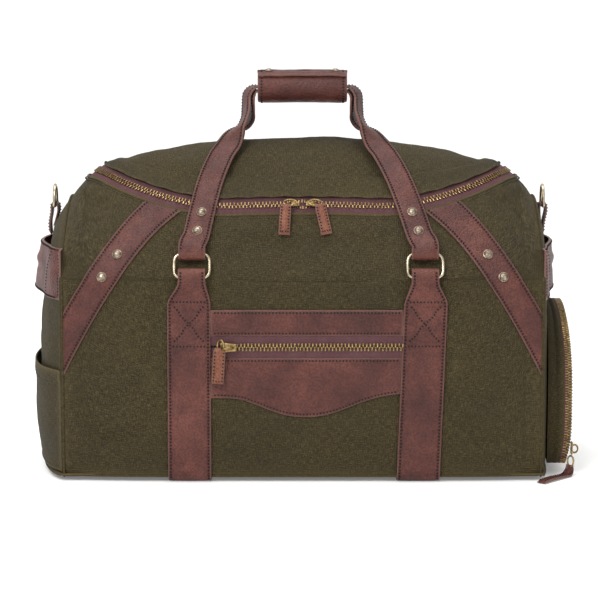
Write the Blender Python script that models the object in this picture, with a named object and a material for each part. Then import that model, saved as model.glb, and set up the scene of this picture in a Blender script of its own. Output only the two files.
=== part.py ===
"""Canvas and leather weekend duffel bag, modelled as the separate pieces it is sewn from.

Metres, +X to the bag's right, +Y to its back, +Z up.  The origin is on the floor under the middle of the bag.
"""

from math import cos, exp, pi, radians, sin, sqrt

import bmesh
import bpy
from mathutils import Vector

# Driving dimensions of the bag's body
FRONT_HALF = 0.2415      # middle to the upright seam of the front panel
DEPTH_HALF = 0.140       # middle to the front wall
CORNER_DRAW = 0.008      # how far the front wall comes back at its end seams
CREST = 0.343            # top of the closed lid at the middle
WALL_TOP = 0.205         # where the front wall starts to lean back
FOOT = 0.0065            # lower edge of the wall panels
TUCK = 0.006             # how far the walls turn in at the base
PANEL = 0.0025           # canvas, its stiffener and its backing
SHOULDER = (0.012, 0.075)  # reach of the curve's handles at the wall and at the crest
WALL_SHARE = 0.42        # share of a cross-section's parameter spent on the upright wall
END_X = 0.2445           # flat rim of the end panels
END_BULGE = {-1: 0.028, 1: 0.010}
SEAM_GAP = 0.0024

# Main zip: the plan of its centre line, half of a U
ZIP_Y = 0.099            # distance of the front run from the middle
ZIP_RUN = 0.070          # half of the straight front run
ZIP_SIDE = 0.216         # distance of the side arms from the middle
ZIP_REAR = (0.036, 0.0895)  # half axes of the curve that the arms end on
ZIP_END = radians(57)
TAPE_OUT = 0.0105        # outer edge of a zip tape
HINGE_Y = 0.0998
HINGE_GAP = 0.0013

# Leather
LEATHER = 0.0020
STRAP_LIFT = 0.0010      # a corner strap's clearance over the canvas
BAND_WIDTH = 0.0435
BAND_TOP_WIDTH = 0.0272
SHOULDER_FOOT, SHOULDER_RISE = 0.184, 0.017    # where a band starts to narrow, and over what height
BAND_THICK = 0.0018
BAND_X = {-1: -0.1137, 1: 0.1166}
BAND_LEAN = {-1: 0.0, 1: 0.0376}
STRAP_WIDTH = 0.027
STRAP = 0.0024
LEAN_FOOT = 0.243        # height below which a handle strap hangs plumb from its ring

# Rings and handles
WIRE = 0.0015
BAR_Y = 0.1452           # lower bar of a handle ring, which the handle swings on
BAR_Z = 0.208
RING_HALF = (0.01775, 0.0125)
RING_STEPS = 22
RING_LEAN = radians(20)   # the rings lean back with the shoulder of the bag
RING_SQUARE = 0.50          # 1 is an ellipse, less is squarer; square enough to clear the bands as it swings
RING_X = {-1: -0.1105, 1: 0.1225}
GRIP_Z = 0.3905          # middle of the two straps inside the wrap
WRAP_HALF = 0.0465
RIVET = 0.0050
RIVET_GAP = 0.0012

CANVAS = ("waxed_canvas", (0.075, 0.062, 0.030), 0.85, 0.0)
COTTON = ("lining_cotton", (0.35, 0.29, 0.20), 0.90, 0.0)
BOARD = ("stiff_board", (0.10, 0.08, 0.06), 0.80, 0.0)
HIDE = ("brown_leather", (0.115, 0.035, 0.026), 0.50, 0.0)
TAPE = ("zip_tape", (0.095, 0.050, 0.054), 0.85, 0.0)
BRASS = ("antique_brass", (0.60, 0.44, 0.20), 0.35, 1.0)
GOLD = ("pale_gold", (0.76, 0.66, 0.50), 0.28, 1.0)
NICKEL = ("aged_nickel", (0.42, 0.35, 0.28), 0.38, 1.0)


def clear_scene():
    for thing in list(bpy.data.objects):
        bpy.data.objects.remove(thing, do_unlink=True)


def material(node, finish):
    _, colour, roughness, metallic = finish
    made = bpy.data.materials.new(node + "_finish")
    made.use_nodes = True
    shader = made.node_tree.nodes["Principled BSDF"]
    shader.inputs["Base Color"].default_value = (*colour, 1.0)
    shader.inputs["Roughness"].default_value = roughness
    shader.inputs["Metallic"].default_value = metallic
    return made


def add_node(node, corners, faces, finish, smooth=True, origin=(0, 0, 0)):
    """One closed body from its corners and faces, with its origin on the axis it turns about."""
    origin = Vector(origin)
    mesh = bpy.data.meshes.new(node)
    mesh.from_pydata([Vector(c) - origin for c in corners], [], faces)
    shape = bmesh.new()
    shape.from_mesh(mesh)
    bmesh.ops.recalc_face_normals(shape, faces=shape.faces)
    if shape.calc_volume(signed=True) < 0:
        bmesh.ops.reverse_faces(shape, faces=shape.faces)
    bmesh.ops.triangulate(shape, faces=[f for f in shape.faces if len(f.verts) > 4])
    shape.to_mesh(mesh)
    shape.free()
    if smooth:
        mesh.shade_smooth()
        mesh.set_sharp_from_angle(angle=radians(35))
    mesh.materials.append(material(node, finish))
    body = bpy.data.objects.new(node, mesh)
    body.location = origin
    bpy.context.scene.collection.objects.link(body)
    return body


def loft(loops, closed=False):
    """Corners and faces of a skin over loops of equal count; its ends are capped unless it closes on itself."""
    count, rows = len(loops[0]), len(loops)
    corners = [point for loop in loops for point in loop]
    faces = []
    for row in range(rows if closed else rows - 1):
        after = (row + 1) % rows
        for i in range(count):
            j = (i + 1) % count
            faces.append((row * count + i, row * count + j, after * count + j, after * count + i))
    if not closed:
        faces.append(tuple(range(count)))
        faces.append(tuple((rows - 1) * count + i for i in range(count)))
    return corners, faces


def spread(low, high, count):
    return [low + (high - low) * i / (count - 1) for i in range(count)]


def smooth_path(points, steps):
    """A curve through hand-placed vectors, with a few steps between each two."""
    ends = [points[0] * 2 - points[1], *points, points[-1] * 2 - points[-2]]
    made = []
    for a, b, c, d in zip(ends, ends[1:], ends[2:], ends[3:]):
        for i in range(steps):
            t = i / steps
            made.append(0.5 * (2 * b + (c - a) * t + (2 * a - 5 * b + 4 * c - d) * t * t
                               + (3 * b - a - 3 * c + d) * t ** 3))
    made.append(points[-1])
    return made


def solve(measure, target, low, high):
    """The value between low and high at which a steadily changing measure meets the target."""
    rising = measure(high) > measure(low)
    for _ in range(40):
        middle = (low + high) / 2
        if (measure(middle) < target) == rising:
            low = middle
        else:
            high = middle
    return (low + high) / 2


# The bag's outer surface

def half_depth(x):
    return DEPTH_HALF - CORNER_DRAW * (abs(x) / FRONT_HALF) ** 6


def crest(x):
    height = CREST - 0.028 * (abs(x) / 0.2) ** 2.3
    return height - 0.02 * (max(0.0, abs(x) - 0.2) / 0.04) ** 2


def wall_point(x, v):
    """Front half of the cross-section at x, from its foot (v = 0) to the crest (v = 1)."""
    b, h = half_depth(x), crest(x)
    if v < WALL_SHARE:
        z = FOOT + (WALL_TOP - FOOT) * v / WALL_SHARE
        return Vector((x, TUCK * max(0.0, 1 - z / 0.02) ** 2 - b, z))
    t = (v - WALL_SHARE) / (1 - WALL_SHARE)
    rise = (h - WALL_TOP) / (CREST - WALL_TOP)
    ys = (-b, -b, -SHOULDER[1] * b / DEPTH_HALF, 0.0)
    zs = (WALL_TOP, WALL_TOP + SHOULDER[0] * rise, h, h)
    mix = ((1 - t) ** 3, 3 * (1 - t) ** 2 * t, 3 * (1 - t) * t * t, t ** 3)
    return Vector((x, sum(m * y for m, y in zip(mix, ys)), sum(m * z for m, z in zip(mix, zs))))


def v_at_depth(x, y):
    return solve(lambda v: wall_point(x, v).y, -abs(y), WALL_SHARE, 1.0)


def v_at_height(x, z):
    return solve(lambda v: wall_point(x, v).z, z, 0.0, 1.0)


def top_point(x, y):
    """The bag's surface over a point of the plan, on its front or back shoulder."""
    point = wall_point(x, v_at_depth(x, y))
    return Vector((x, y, point.z))


def normal_at(surface, u, v, away_from, step=0.0008):
    """Unit normal of a surface, pointing away from a point inside."""
    across = surface(u + step, v) - surface(u - step, v)
    along = surface(u, v + step) - surface(u, v - step)
    normal = across.cross(along).normalized()
    return normal if normal.dot(surface(u, v) - Vector(away_from)) > 0 else -normal


INSIDE = (0.0, 0.0, 0.15)


def top_normal(x, y):
    y = max(-DEPTH_HALF + 0.012, min(DEPTH_HALF - 0.012, y))
    return normal_at(top_point, x, y, (x, 0.0, 0.1))


def skin(node, rows, normals, low, high, finish, origin=(0, 0, 0)):
    """A sheet that follows rows of surface points, between two heights above them."""
    depth, width = len(rows), len(rows[0])
    outer = [p + n * high for row, ns in zip(rows, normals) for p, n in zip(row, ns)]
    inner = [p + n * low for row, ns in zip(rows, normals) for p, n in zip(row, ns)]
    total = depth * width
    faces = []
    for r in range(depth - 1):
        for c in range(width - 1):
            a, b = r * width + c, r * width + c + 1
            faces.append((a, b, b + width, a + width))
            faces.append((total + a, total + a + width, total + b + width, total + b))
    rim = [c for c in range(width)]
    rim += [r * width + width - 1 for r in range(1, depth)]
    rim += [(depth - 1) * width + c for c in range(width - 2, -1, -1)]
    rim += [r * width for r in range(depth - 2, 0, -1)]
    for a, b in zip(rim, rim[1:] + rim[:1]):
        faces.append((a, total + a, total + b, b))
    return add_node(node, outer + inner, faces, finish, origin=origin)


# Main zip

def zip_plan(s):
    """Plan of the main zip's centre line, from the front middle (0) to the rear end of an arm (1 or -1)."""
    side, s = (-1 if s < 0 else 1), abs(s)
    if s < 0.2:
        x, y = ZIP_RUN * s / 0.2, -ZIP_Y
    elif s < 0.75:
        turn = pi / 2 * (s - 0.2) / 0.55
        x, y = ZIP_RUN + (ZIP_SIDE - ZIP_RUN) * sin(turn), -ZIP_Y * cos(turn)
    else:
        turn = ZIP_END * (s - 0.75) / 0.25
        x, y = ZIP_SIDE - ZIP_REAR[0] * (1 - cos(turn)), ZIP_REAR[1] * sin(turn)
    return side * x, y


def zip_frame(s):
    """A point of the main zip's centre line, the way to the lid along the surface, and the surface normal."""
    at = top_point(*zip_plan(s))
    ahead = top_point(*zip_plan(min(1.0, s + 0.004))) - top_point(*zip_plan(max(-1.0, s - 0.004)))
    normal = top_normal(at.x, at.y)
    inward = normal.cross(ahead.normalized())
    inward = inward.normalized()
    return at, inward, normal


def zip_point(s, across, lift):
    at, inward, normal = zip_frame(s)
    return at + inward * across + normal * (lift - across ** 2 / (2 * DEPTH_HALF))


def zip_strip(node, low, high, lift_low, lift_high, finish, count=51):
    loops = []
    for s in spread(-1.0, 1.0, count):
        loops.append([zip_point(s, low, lift_low), zip_point(s, high, lift_low),
                      zip_point(s, high, lift_high), zip_point(s, low, lift_high)])
    return add_node(node, *loft(loops), finish)


def zip_edge_y(x, across):
    """Plan depth of a line beside the main zip, at a distance x from the middle of the bag."""
    s = solve(lambda s: zip_point(s, across, 0.0).x, abs(x), 0.0, 0.75)
    return zip_point(s, across, 0.0).y


def rear_edge_y(x, start, reach, depth, power):
    """Plan depth of a rear edge that runs straight, then rounds forward to the middle of the bag."""
    share = min(1.0, max(0.0, (abs(x) - start) / reach))
    return depth * (1 - share ** power) ** (1 / power)


# Canvas shell

def mirror_list(values):
    return [-v for v in reversed(values) if v > 0] + values


def wall_panel(node, back):
    """Front or back panel, from the base up to the main zip or to the lid's hinge, and over the shoulders."""
    arm = zip_point(0.75, -TAPE_OUT - SEAM_GAP / 2, 0.0).x
    xs = spread(0.0, 0.19, 8) + [0.204, 0.213, 0.2205, 0.2245, arm - 0.0006, arm + 0.0005, FRONT_HALF]
    rows, normals = [], []
    for x in mirror_list(xs):
        if abs(x) > arm:
            top = 1.0
        elif back:
            edge = rear_edge_y(x, 0.19, arm - 0.19, HINGE_Y + HINGE_GAP, 2.1)
            top = v_at_depth(x, edge)
        else:
            top = v_at_depth(x, zip_edge_y(x, -TAPE_OUT - SEAM_GAP / 2))
        if abs(top - 1.0) < 1e-6:
            top = 0.9965
        row = [wall_point(x, v) for v in spread(0.0, top, 14)]
        facing = [normal_at(wall_point, x, min(v, 0.995), (x, 0.0, 0.1)) for v in spread(0.0, top, 14)]
        if back:
            row = [Vector((p.x, -p.y, p.z)) for p in row]
            facing = [Vector((n.x, -n.y, n.z)) for n in facing]
        rows.append(row)
        normals.append(facing)
    return skin(node, rows, normals, -PANEL, 0.0, CANVAS)


def end_surface(side, y, z):
    """Bulging surface of an end panel."""
    arch = crest(FRONT_HALF)
    share = min(1.0, max(0.0, z / arch))
    round_depth = max(0.0, 1 - (y / half_depth(FRONT_HALF)) ** 2) ** 0.7
    round_height = max(0.0, sin(pi * (0.28 + 0.72 * share))) ** 0.5
    return Vector((side * (END_X + END_BULGE[side] * round_depth * round_height), y, z))


def end_normal(side, y, z):
    return normal_at(lambda a, b: end_surface(side, a, b), y, z, INSIDE)


def end_panel(node, side):
    reach = half_depth(FRONT_HALF) - 0.0012
    rows, normals = [], []
    for y in [reach * sin(a) for a in spread(-pi / 2, pi / 2, 17)]:
        top = top_point(FRONT_HALF, y).z - 0.0015 if abs(y) < reach - 0.0005 else WALL_TOP + 0.02
        zs = spread(FOOT, top, 11)
        rows.append([end_surface(side, y, z) for z in zs])
        normals.append([Vector((side, 0.0, 0.0))] * len(zs))
    return skin(node, rows, normals, -PANEL, 0.0, CANVAS)


def base_outline(reach_y, inset, count=24):
    """Plan of the base: straight long sides and ends that bulge with the end panels."""
    points = []
    for side in (1, -1):
        for y in spread(-reach_y * side, reach_y * side, count):
            points.append((end_surface(side, y, 0.01).x - side * inset, y))
    return points


def plate(node, outline, low, high, finish):
    loops = [[Vector((x, y, z)) for x, y in outline] for z in (low, high)]
    return add_node(node, *loft(loops), finish)


def tub(node, half_x, half_y, low, high, wall, finish, count=40):
    """An open-topped lining with rounded corners."""
    def loop(inset, z):
        points = []
        for i in range(count):
            turn = 2 * pi * i / count
            c, s = cos(turn), sin(turn)
            x = (half_x - inset) * (1 if c > 0 else -1) * abs(c) ** 0.3
            y = (half_y - inset) * (1 if s > 0 else -1) * abs(s) ** 0.3
            points.append(Vector((x, y, z)))
        return points
    loops = [loop(0, low), loop(0, high), loop(wall, high), loop(wall, low + wall)]
    return add_node(node, *loft(loops), finish)


def lid_panel():
    xs = mirror_list(spread(0.0, 0.18, 11) + [0.188, 0.195, 0.200, 0.2035])
    rows, normals = [], []
    for x in xs:
        front = zip_edge_y(x, TAPE_OUT + SEAM_GAP / 2)
        rear = rear_edge_y(x, 0.16, 0.0448, HINGE_Y - HINGE_GAP, 1.8)
        ys = spread(front, rear, 12)
        rows.append([top_point(x, y) for y in ys])
        normals.append([top_normal(x, y) for y in ys])
    return skin("lid_panel", rows, normals, -PANEL, 0.0, CANVAS, origin=(0, HINGE_Y, HINGE_Z))


# Leather straps and bands

def box_section(at, side, normal, width, thick):
    w, t = side * (width / 2), normal * (thick / 2)
    return [at - w - t, at + w - t, at + w + t, at - w + t]


def strap(node, path, normals, widths, thick, finish, origin=(0, 0, 0)):
    """A flat strap along a path, turned to face the way its normals say."""
    loops = []
    last = len(path) - 1
    for i, at in enumerate(path):
        ahead = (path[min(i + 1, last)] - path[max(i - 1, 0)]).normalized()
        side = ahead.cross(normals[i]).normalized()
        facing = side.cross(ahead).normalized()
        width = widths[i] if isinstance(widths, list) else widths
        loops.append(box_section(at, side, facing, width, thick))
    return add_node(node, *loft(loops), finish, origin=origin)


def arc(centre, radius, start, end, count):
    """Points of an arc in a (y, z) or (x, z) plane, with angles in degrees."""
    return [(centre[0] + radius * cos(radians(a)), centre[1] + radius * sin(radians(a)))
            for a in spread(start, end, count)]


def band(node, side):
    """Leather band that starts in a loop round a front ring, runs under the base and ends in one at the back."""
    plane, low = DEPTH_HALF + 0.0021, BAND_THICK / 2
    half = [(-DEPTH_HALF - 0.0013, 0.192), (-DEPTH_HALF - 0.0013, 0.2115)]
    half += arc((-BAR_Y, 0.2125), 0.0039, 0, 180, 7)
    half += [(-BAR_Y - 0.0039, 0.203), (-plane, 0.186), (-plane, 0.150), (-plane, 0.080), (-plane, 0.0110)]
    half += arc((-plane + 0.010, 0.0110), 0.010, 195, 270, 6)
    half += [(-0.06, low)]
    path = half + [(-y, z) for y, z in reversed(half)]
    loops = []
    for i, (y, z) in enumerate(path):
        before, after = path[max(i - 1, 0)], path[min(i + 1, len(path) - 1)]
        ahead = Vector((0, after[0] - before[0], after[1] - before[1])).normalized()
        facing = Vector((0, -ahead.z, ahead.y))
        narrow = min(1.0, max(0.0, (z - SHOULDER_FOOT) / SHOULDER_RISE))
        width = BAND_WIDTH - (BAND_WIDTH - BAND_TOP_WIDTH) * narrow
        centre = BAND_X[side] + BAND_LEAN[side] * z
        centre += (RING_X[side] - centre) * narrow
        loops.append(box_section(Vector((centre, y, z)), Vector((1, 0, 0)), facing, width, BAND_THICK))
    return add_node(node, *loft(loops), HIDE)


def corner_centre(u):
    """Front view of a corner strap's centre line, from the main zip down to the end seam."""
    a, b, c = Vector((0.146, 0.2715)), Vector((0.196, 0.232)), Vector((0.262, 0.098))
    at = a * (1 - u) ** 2 + b * 2 * u * (1 - u) + c * u * u
    ahead = ((b - a) * (1 - u) + (c - b) * u).normalized()
    return at, Vector((-ahead.y, ahead.x))


def corner_point(side, u, across):
    at, sideways = corner_centre(u)
    flat = at + sideways * across
    return side * flat.x, flat.y


def front_skin_point(x, z, lift):
    v = v_at_height(x, z)
    normal = normal_at(wall_point, x, v, (x, 0.0, 0.1))
    return wall_point(x, v), normal, wall_point(x, v) + normal * lift


def corner_strap(node, side):
    rows, normals = [], []
    for across in spread(-0.015, 0.015, 5):
        edge = FRONT_HALF - 0.0012
        end = solve(lambda u: abs(corner_point(side, u, across)[0]), edge, 0.0, 1.0)
        start = 0.0
        row, facing = [], []
        for u in spread(start, end, 19):
            at, normal, _ = front_skin_point(*corner_point(side, u, across), 0.0)
            row.append(at)
            facing.append(normal)
        rows.append(row)
        normals.append(facing)
    return skin(node, rows, normals, STRAP_LIFT, STRAP_LIFT + LEATHER, HIDE)


def cap_rivet(node, at, normal, radius, height, finish, origin=(0, 0, 0)):
    """A low domed rivet or snap cap."""
    across = normal.orthogonal().normalized()
    up = normal.cross(across)
    steps = ((1.0, 0.0), (0.95, 0.6), (0.55, 1.0))
    loops = []
    for share, rise in steps:
        loops.append([at + normal * (height * rise) + (across * cos(a) + up * sin(a)) * (radius * share)
                      for a in spread(0.0, 2 * pi * 9 / 10, 10)])
    return add_node(node, *loft(loops), finish, origin=origin)


def wire_loop(node, path, radius, finish, origin=(0, 0, 0), sides=6):
    """A closed wire that lies in one plane."""
    count = len(path)
    across = (path[count // 4] - path[0]).cross(path[count // 2] - path[0]).normalized()
    loops = []
    for i, at in enumerate(path):
        ahead = (path[(i + 1) % count] - path[i - 1]).normalized()
        out = ahead.cross(across).normalized()
        loops.append([at + (across * cos(a) + out * sin(a)) * radius
                      for a in spread(0.0, 2 * pi * (sides - 1) / sides, sides)])
    return add_node(node, *loft(loops, closed=True), finish, origin=origin)


# Handles

def handle_path(back):
    """Half of a handle strap: fold round the ring, up the bag, off the lid, round the elbow into the wrap."""
    x0 = (RING_X[-1] - RING_X[1]) / 2
    up = Vector((0.0, sin(RING_LEAN), cos(RING_LEAN)))
    out = Vector((0.0, -cos(RING_LEAN), sin(RING_LEAN)))
    upper_bar = Vector((x0, -BAR_Y, BAR_Z)) + up * (2 * RING_HALF[1])
    fold = upper_bar - up * 0.0017
    points, normals = [], []

    def add(at, normal):
        points.append(Vector(at))
        normals.append(Vector(normal).normalized())

    add(upper_bar + up * 0.0085 - out * 0.0040, -out)
    add(upper_bar + up * 0.0010 - out * 0.0038, -out)
    for a, b in arc((0.0, 0.0), 0.0036, -160, -20, 5):
        add(fold + out * a + up * b, out * a + up * b)
    add(upper_bar + up * 0.0010 + out * 0.0038, out)
    add(upper_bar + up * 0.0090 + out * 0.0030, out)
    for x, y, lift in ((-0.1120, -0.1190, 0.0060), (-0.1075, -0.1080, 0.0048), (-0.0992, -0.0863, 0.0040),
                       (-0.0920, -0.0690, 0.0040), (-0.0838, -0.0505, 0.0040), (-0.0765, -0.0360, 0.0042)):
        normal = top_normal(x, y)
        add(top_point(x, y) + normal * lift, normal)
    rise_x = -0.0545 if back else -0.0590
    top = GRIP_Z + (-0.0022 if back else 0.0022)
    bend = 0.0085 if back else 0.0125
    add((-0.0700, -0.0240, 0.3475), (-0.45, -0.25, 0.85))
    add((rise_x - 0.0045, -0.0170, 0.3550), (-0.92, -0.28, 0.30))
    add((rise_x - 0.0006, -0.0095, 0.3645), (-1, -0.06, 0.04))
    add((rise_x, -0.0030, 0.3735), (-1, 0, 0.02))
    for x, z in arc((rise_x + bend, top - bend), bend, 180, 90, 6):
        add((x, 0.0, z), (x - rise_x - bend, 0, z - top + bend))
    add((-0.020, 0.0, top), (0, 0, 1))
    add((0.0, 0.0, top), (0, 0, 1))
    return points, normals


def handle_strap(node, back):
    points, facing = handle_path(back)
    path = smooth_path(points, 2)
    normals = smooth_path(facing, 2)
    stretch = (RING_X[1] + RING_X[-1]) / 2

    def lean(at):
        """The two rings of a handle don't stand equally far from the middle, so its ends lean to meet them."""
        share = min(1.0, max(0.0, (CREST - at.z) / (CREST - LEAN_FOOT)))
        return Vector((at.x + stretch * share, at.y, at.z))

    left = [lean(p) for p in path]
    right = [lean(Vector((-p.x, p.y, p.z))) for p in path]
    whole = left + [p for p in reversed(right)][1:]
    faces = normals + [Vector((-n.x, n.y, n.z)) for n in reversed(normals)][1:]
    if back:
        whole = [Vector((p.x, -p.y, p.z)) for p in whole]
        faces = [Vector((n.x, -n.y, n.z)) for n in faces]
    side = 1 if back else -1
    return strap(node, whole, faces, STRAP_WIDTH, STRAP, HIDE, origin=(0, side * BAR_Y, BAR_Z)), whole, faces


def handle_ring(node, side, back):
    """Oval ring that joins a handle strap to the loop of its band."""
    way = 1 if back else -1
    path = []
    for i in range(RING_STEPS):
        turn = 2 * pi * i / RING_STEPS
        c, s = cos(turn), sin(turn)
        x = RING_HALF[0] * (1 if c > 0 else -1) * abs(c) ** RING_SQUARE
        z = RING_HALF[1] * (1 if s > 0 else -1) * abs(s) ** RING_SQUARE
        rise = RING_HALF[1] + z
        y = way * (BAR_Y - rise * sin(RING_LEAN))
        path.append(Vector((RING_X[side] + x, y, BAR_Z + rise * cos(RING_LEAN))))
    return wire_loop(node, path, WIRE, GOLD, origin=(RING_X[side], way * BAR_Y, BAR_Z))


def handle(front_or_back):
    back = front_or_back == "back"
    strap_node, path, faces = handle_strap(f"handle_strap_{front_or_back}", back)
    axis = tuple(strap_node.location)
    for side, word in ((-1, "left"), (1, "right")):
        handle_ring(f"handle_ring_{front_or_back}_{word}", side, back)
    for end, word in ((1, "left"), (-1, "right")):
        for height, place in ((0.2525, "lower"), (0.2700, "upper")):
            order, facing = path[::end], faces[::end]
            spot = next(i for i in range(20, len(order)) if order[i].z > height)
            share = (height - order[spot - 1].z) / (order[spot].z - order[spot - 1].z)
            out = facing[spot - 1].lerp(facing[spot], share).normalized()
            at = order[spot - 1].lerp(order[spot], share) + out * (STRAP / 2 + RIVET_GAP)
            cap_rivet(f"handle_rivet_{front_or_back}_{word}_{place}", at, out, RIVET, 0.0020, NICKEL, axis)


def handle_wrap():
    """Leather grip rolled round both straps."""
    count, outer, inner = 24, (0.0205, 0.0165), (0.0170, 0.0128)
    loops = []
    for x, axes in ((-WRAP_HALF, outer), (WRAP_HALF, outer), (WRAP_HALF, inner), (-WRAP_HALF, inner)):
        loops.append([Vector((x, axes[0] * cos(a), GRIP_Z + 0.0012 + axes[1] * sin(a)))
                      for a in spread(0.0, 2 * pi * (count - 1) / count, count)])
    axis = (0, -BAR_Y, BAR_Z)
    add_node("handle_wrap", *loft(loops, closed=True), HIDE, origin=axis)
    for x, word in ((-0.0350, "left"), (0.0345, "right")):
        at = Vector((x, -0.0080, GRIP_Z + 0.0012 + 0.0157))
        cap_rivet(f"wrap_snap_{word}", at, Vector((0, -0.22, 1)).normalized(), 0.0060, 0.0024, NICKEL, axis)


# Zip furniture

def slider(node, at, along, out, length, width, low, high, finish=BRASS):
    """Wedge-fronted top plate of a zip slider, running over its chain."""
    across = out.cross(along).normalized()
    outline = ((-0.5, -0.36), (-0.36, -0.5), (0.30, -0.5), (0.5, -0.26), (0.5, 0.26), (0.30, 0.5), (-0.36, 0.5),
               (-0.5, 0.36))
    loops = []
    for lift, shrink in ((low, 1.0), ((low + high) / 2, 1.0), (high, 0.78)):
        loops.append([at + along * (a * length * shrink) + across * (b * width * shrink) + out * lift
                      for a, b in outline])
    return add_node(node, *loft(loops), finish, origin=at)


def pull(node, path, normal, width, thick):
    """Leather pull that hangs from its slider by its top end."""
    return strap(node, path, [normal] * len(path), width, thick, HIDE, origin=path[0])


def main_zip():
    zip_strip("body_zip_tape", -TAPE_OUT, -0.0010, -0.0016, -0.0006, TAPE)
    zip_strip("body_zip_chain", -0.0035, -0.0003, -0.0003, 0.0014, BRASS)
    zip_strip("lid_zip_tape", 0.0010, TAPE_OUT, -0.0016, -0.0006, TAPE)
    zip_strip("lid_zip_chain", 0.0003, 0.0035, -0.0003, 0.0014, BRASS)
    at, inward, normal = zip_frame(0.0)
    for x, word, turn in ((-0.0082, "left", 3), (0.0087, "right", -12)):
        start = at + Vector((x, 0, 0))
        outward = Vector((-1 if x < 0 else 1, 0, 0))
        slider(f"main_slider_{word}", start, outward, normal, 0.0095, 0.0115, 0.0018, 0.0058)
        droop, sway = radians(12), radians(turn)
        down = (-inward * cos(droop) - normal * sin(droop)) * cos(sway) + Vector((-sin(sway), 0, 0))
        hinge = start - inward * 0.002 + normal * 0.0080
        path = [hinge + down * d for d in spread(0.0, 0.0350, 4)]
        pull(f"main_pull_{word}", path, normal, 0.0115, 0.0022)


# Front pocket

def flat_piece(node, left, right, bottom, top, low, high, finish, count=2):
    """A flat piece on the front wall; its sides may slant and its lower edge may curve."""
    rows, normals = [], []
    for share in spread(0.0, 1.0, count):
        row = []
        for rise in (0.0, 1.0):
            x_mid = left + (right(top) - left) * share
            z = bottom(x_mid) + (top - bottom(x_mid)) * rise
            row.append(Vector((left + (right(z) - left) * share, -DEPTH_HALF, z)))
        rows.append(row)
        normals.append([Vector((0, -1, 0))] * 2)
    return skin(node, rows, normals, low, high, finish)


def front_pocket():
    left = -0.0905

    def right(z):
        return 0.0944 + BAND_LEAN[1] * z

    def ogee(x):
        return 0.0915 - 0.0245 * exp(-abs((x - 0.004) / 0.058) ** 2.3)

    flat_piece("pocket_welt", left, right, lambda x: 0.1495, 0.1750, 0.0004, 0.0022, HIDE)
    flat_piece("pocket_zip_tape", left, right, lambda x: 0.1272, 0.1490, 0.0004, 0.0012, TAPE)
    flat_piece("pocket_zip_chain", left + 0.001, right, lambda x: 0.1343, 0.1418, 0.0015, 0.0031, BRASS)
    flat_piece("pocket_facing", left, right, ogee, 0.1267, 0.0004, 0.0022, HIDE, count=33)
    pouch = [(-0.088, -0.1362), (0.092, -0.1362), (0.092, -0.1300), (-0.088, -0.1300)]
    plate("pocket_pouch", pouch, 0.060, 0.150, COTTON)
    at = Vector((-0.0740, -DEPTH_HALF, 0.1380))
    out = Vector((0, -1, 0))
    slider("pocket_slider", at, Vector((-1, 0, 0)), out, 0.0170, 0.0140, 0.0034, 0.0074)
    hinge = Vector((-0.0823, -DEPTH_HALF - 0.0092, 0.1455))
    path = [hinge + Vector((-0.0029, 0, -0.0440)) * share for share in spread(0.0, 1.0, 3)]
    pull("pocket_pull", path, out, 0.0125, 0.0024)


# Ends of the bag

def end_skin(node, side, ys, zs, low, high, finish):
    rows = [[end_surface(side, y, z) + end_normal(side, y, z) * low(y, z) for z in zs] for y in ys]
    normals = [[end_normal(side, y, z) for z in zs] for y in ys]
    return skin(node, rows, normals, 0.0, high, finish)


def end_handle(node, side):
    """Leather grab handle across an end, standing off at its middle for the fingers."""
    def stand_off(y, z):
        return 0.0006 + 0.0095 * max(0.0, 1 - (y / 0.075) ** 2) ** 1.5
    return end_skin(node, side, spread(-0.118, 0.118, 21), spread(0.1840, 0.2340, 4), stand_off, LEATHER, HIDE)


def slip_pocket():
    """Open pocket on the left end, gaping at its top."""
    def stand_off(y, z):
        gape = max(0.0, 1 - (abs(y) / 0.114) ** 3) * min(1.0, (z - 0.012) / 0.035)
        return 0.0008 + 0.0078 * gape
    end_skin("slip_pocket", -1, spread(-0.114, 0.114, 17), spread(0.012, 0.112, 7), stand_off, 0.0016, CANVAS)


def pocket_outline(inset, count=14):
    """Arched outline of the zipped end pocket, as (y, z), from the middle of its foot round to it again."""
    half, low, spring, top, corner = 0.106 - inset, 0.010 + inset, 0.085, 0.083 - inset, 0.014
    side = [(0.0, low)] + arc((half - corner, low + corner), corner, -90, 0, 4)
    side += [(half * cos(a), spring + top * sin(a)) for a in spread(0.0, pi / 2, count)]
    return side + [(-y, z) for y, z in reversed(side[1:-1])]


def pocket_face_x(y, z):
    droop = max(0.0, 1 - z / 0.055)
    return 0.2772 - 0.0030 * (y / 0.106) ** 2 - 0.0085 * droop ** 2 - 0.0040 * max(0.0, (z - 0.09) / 0.08) ** 2


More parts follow.
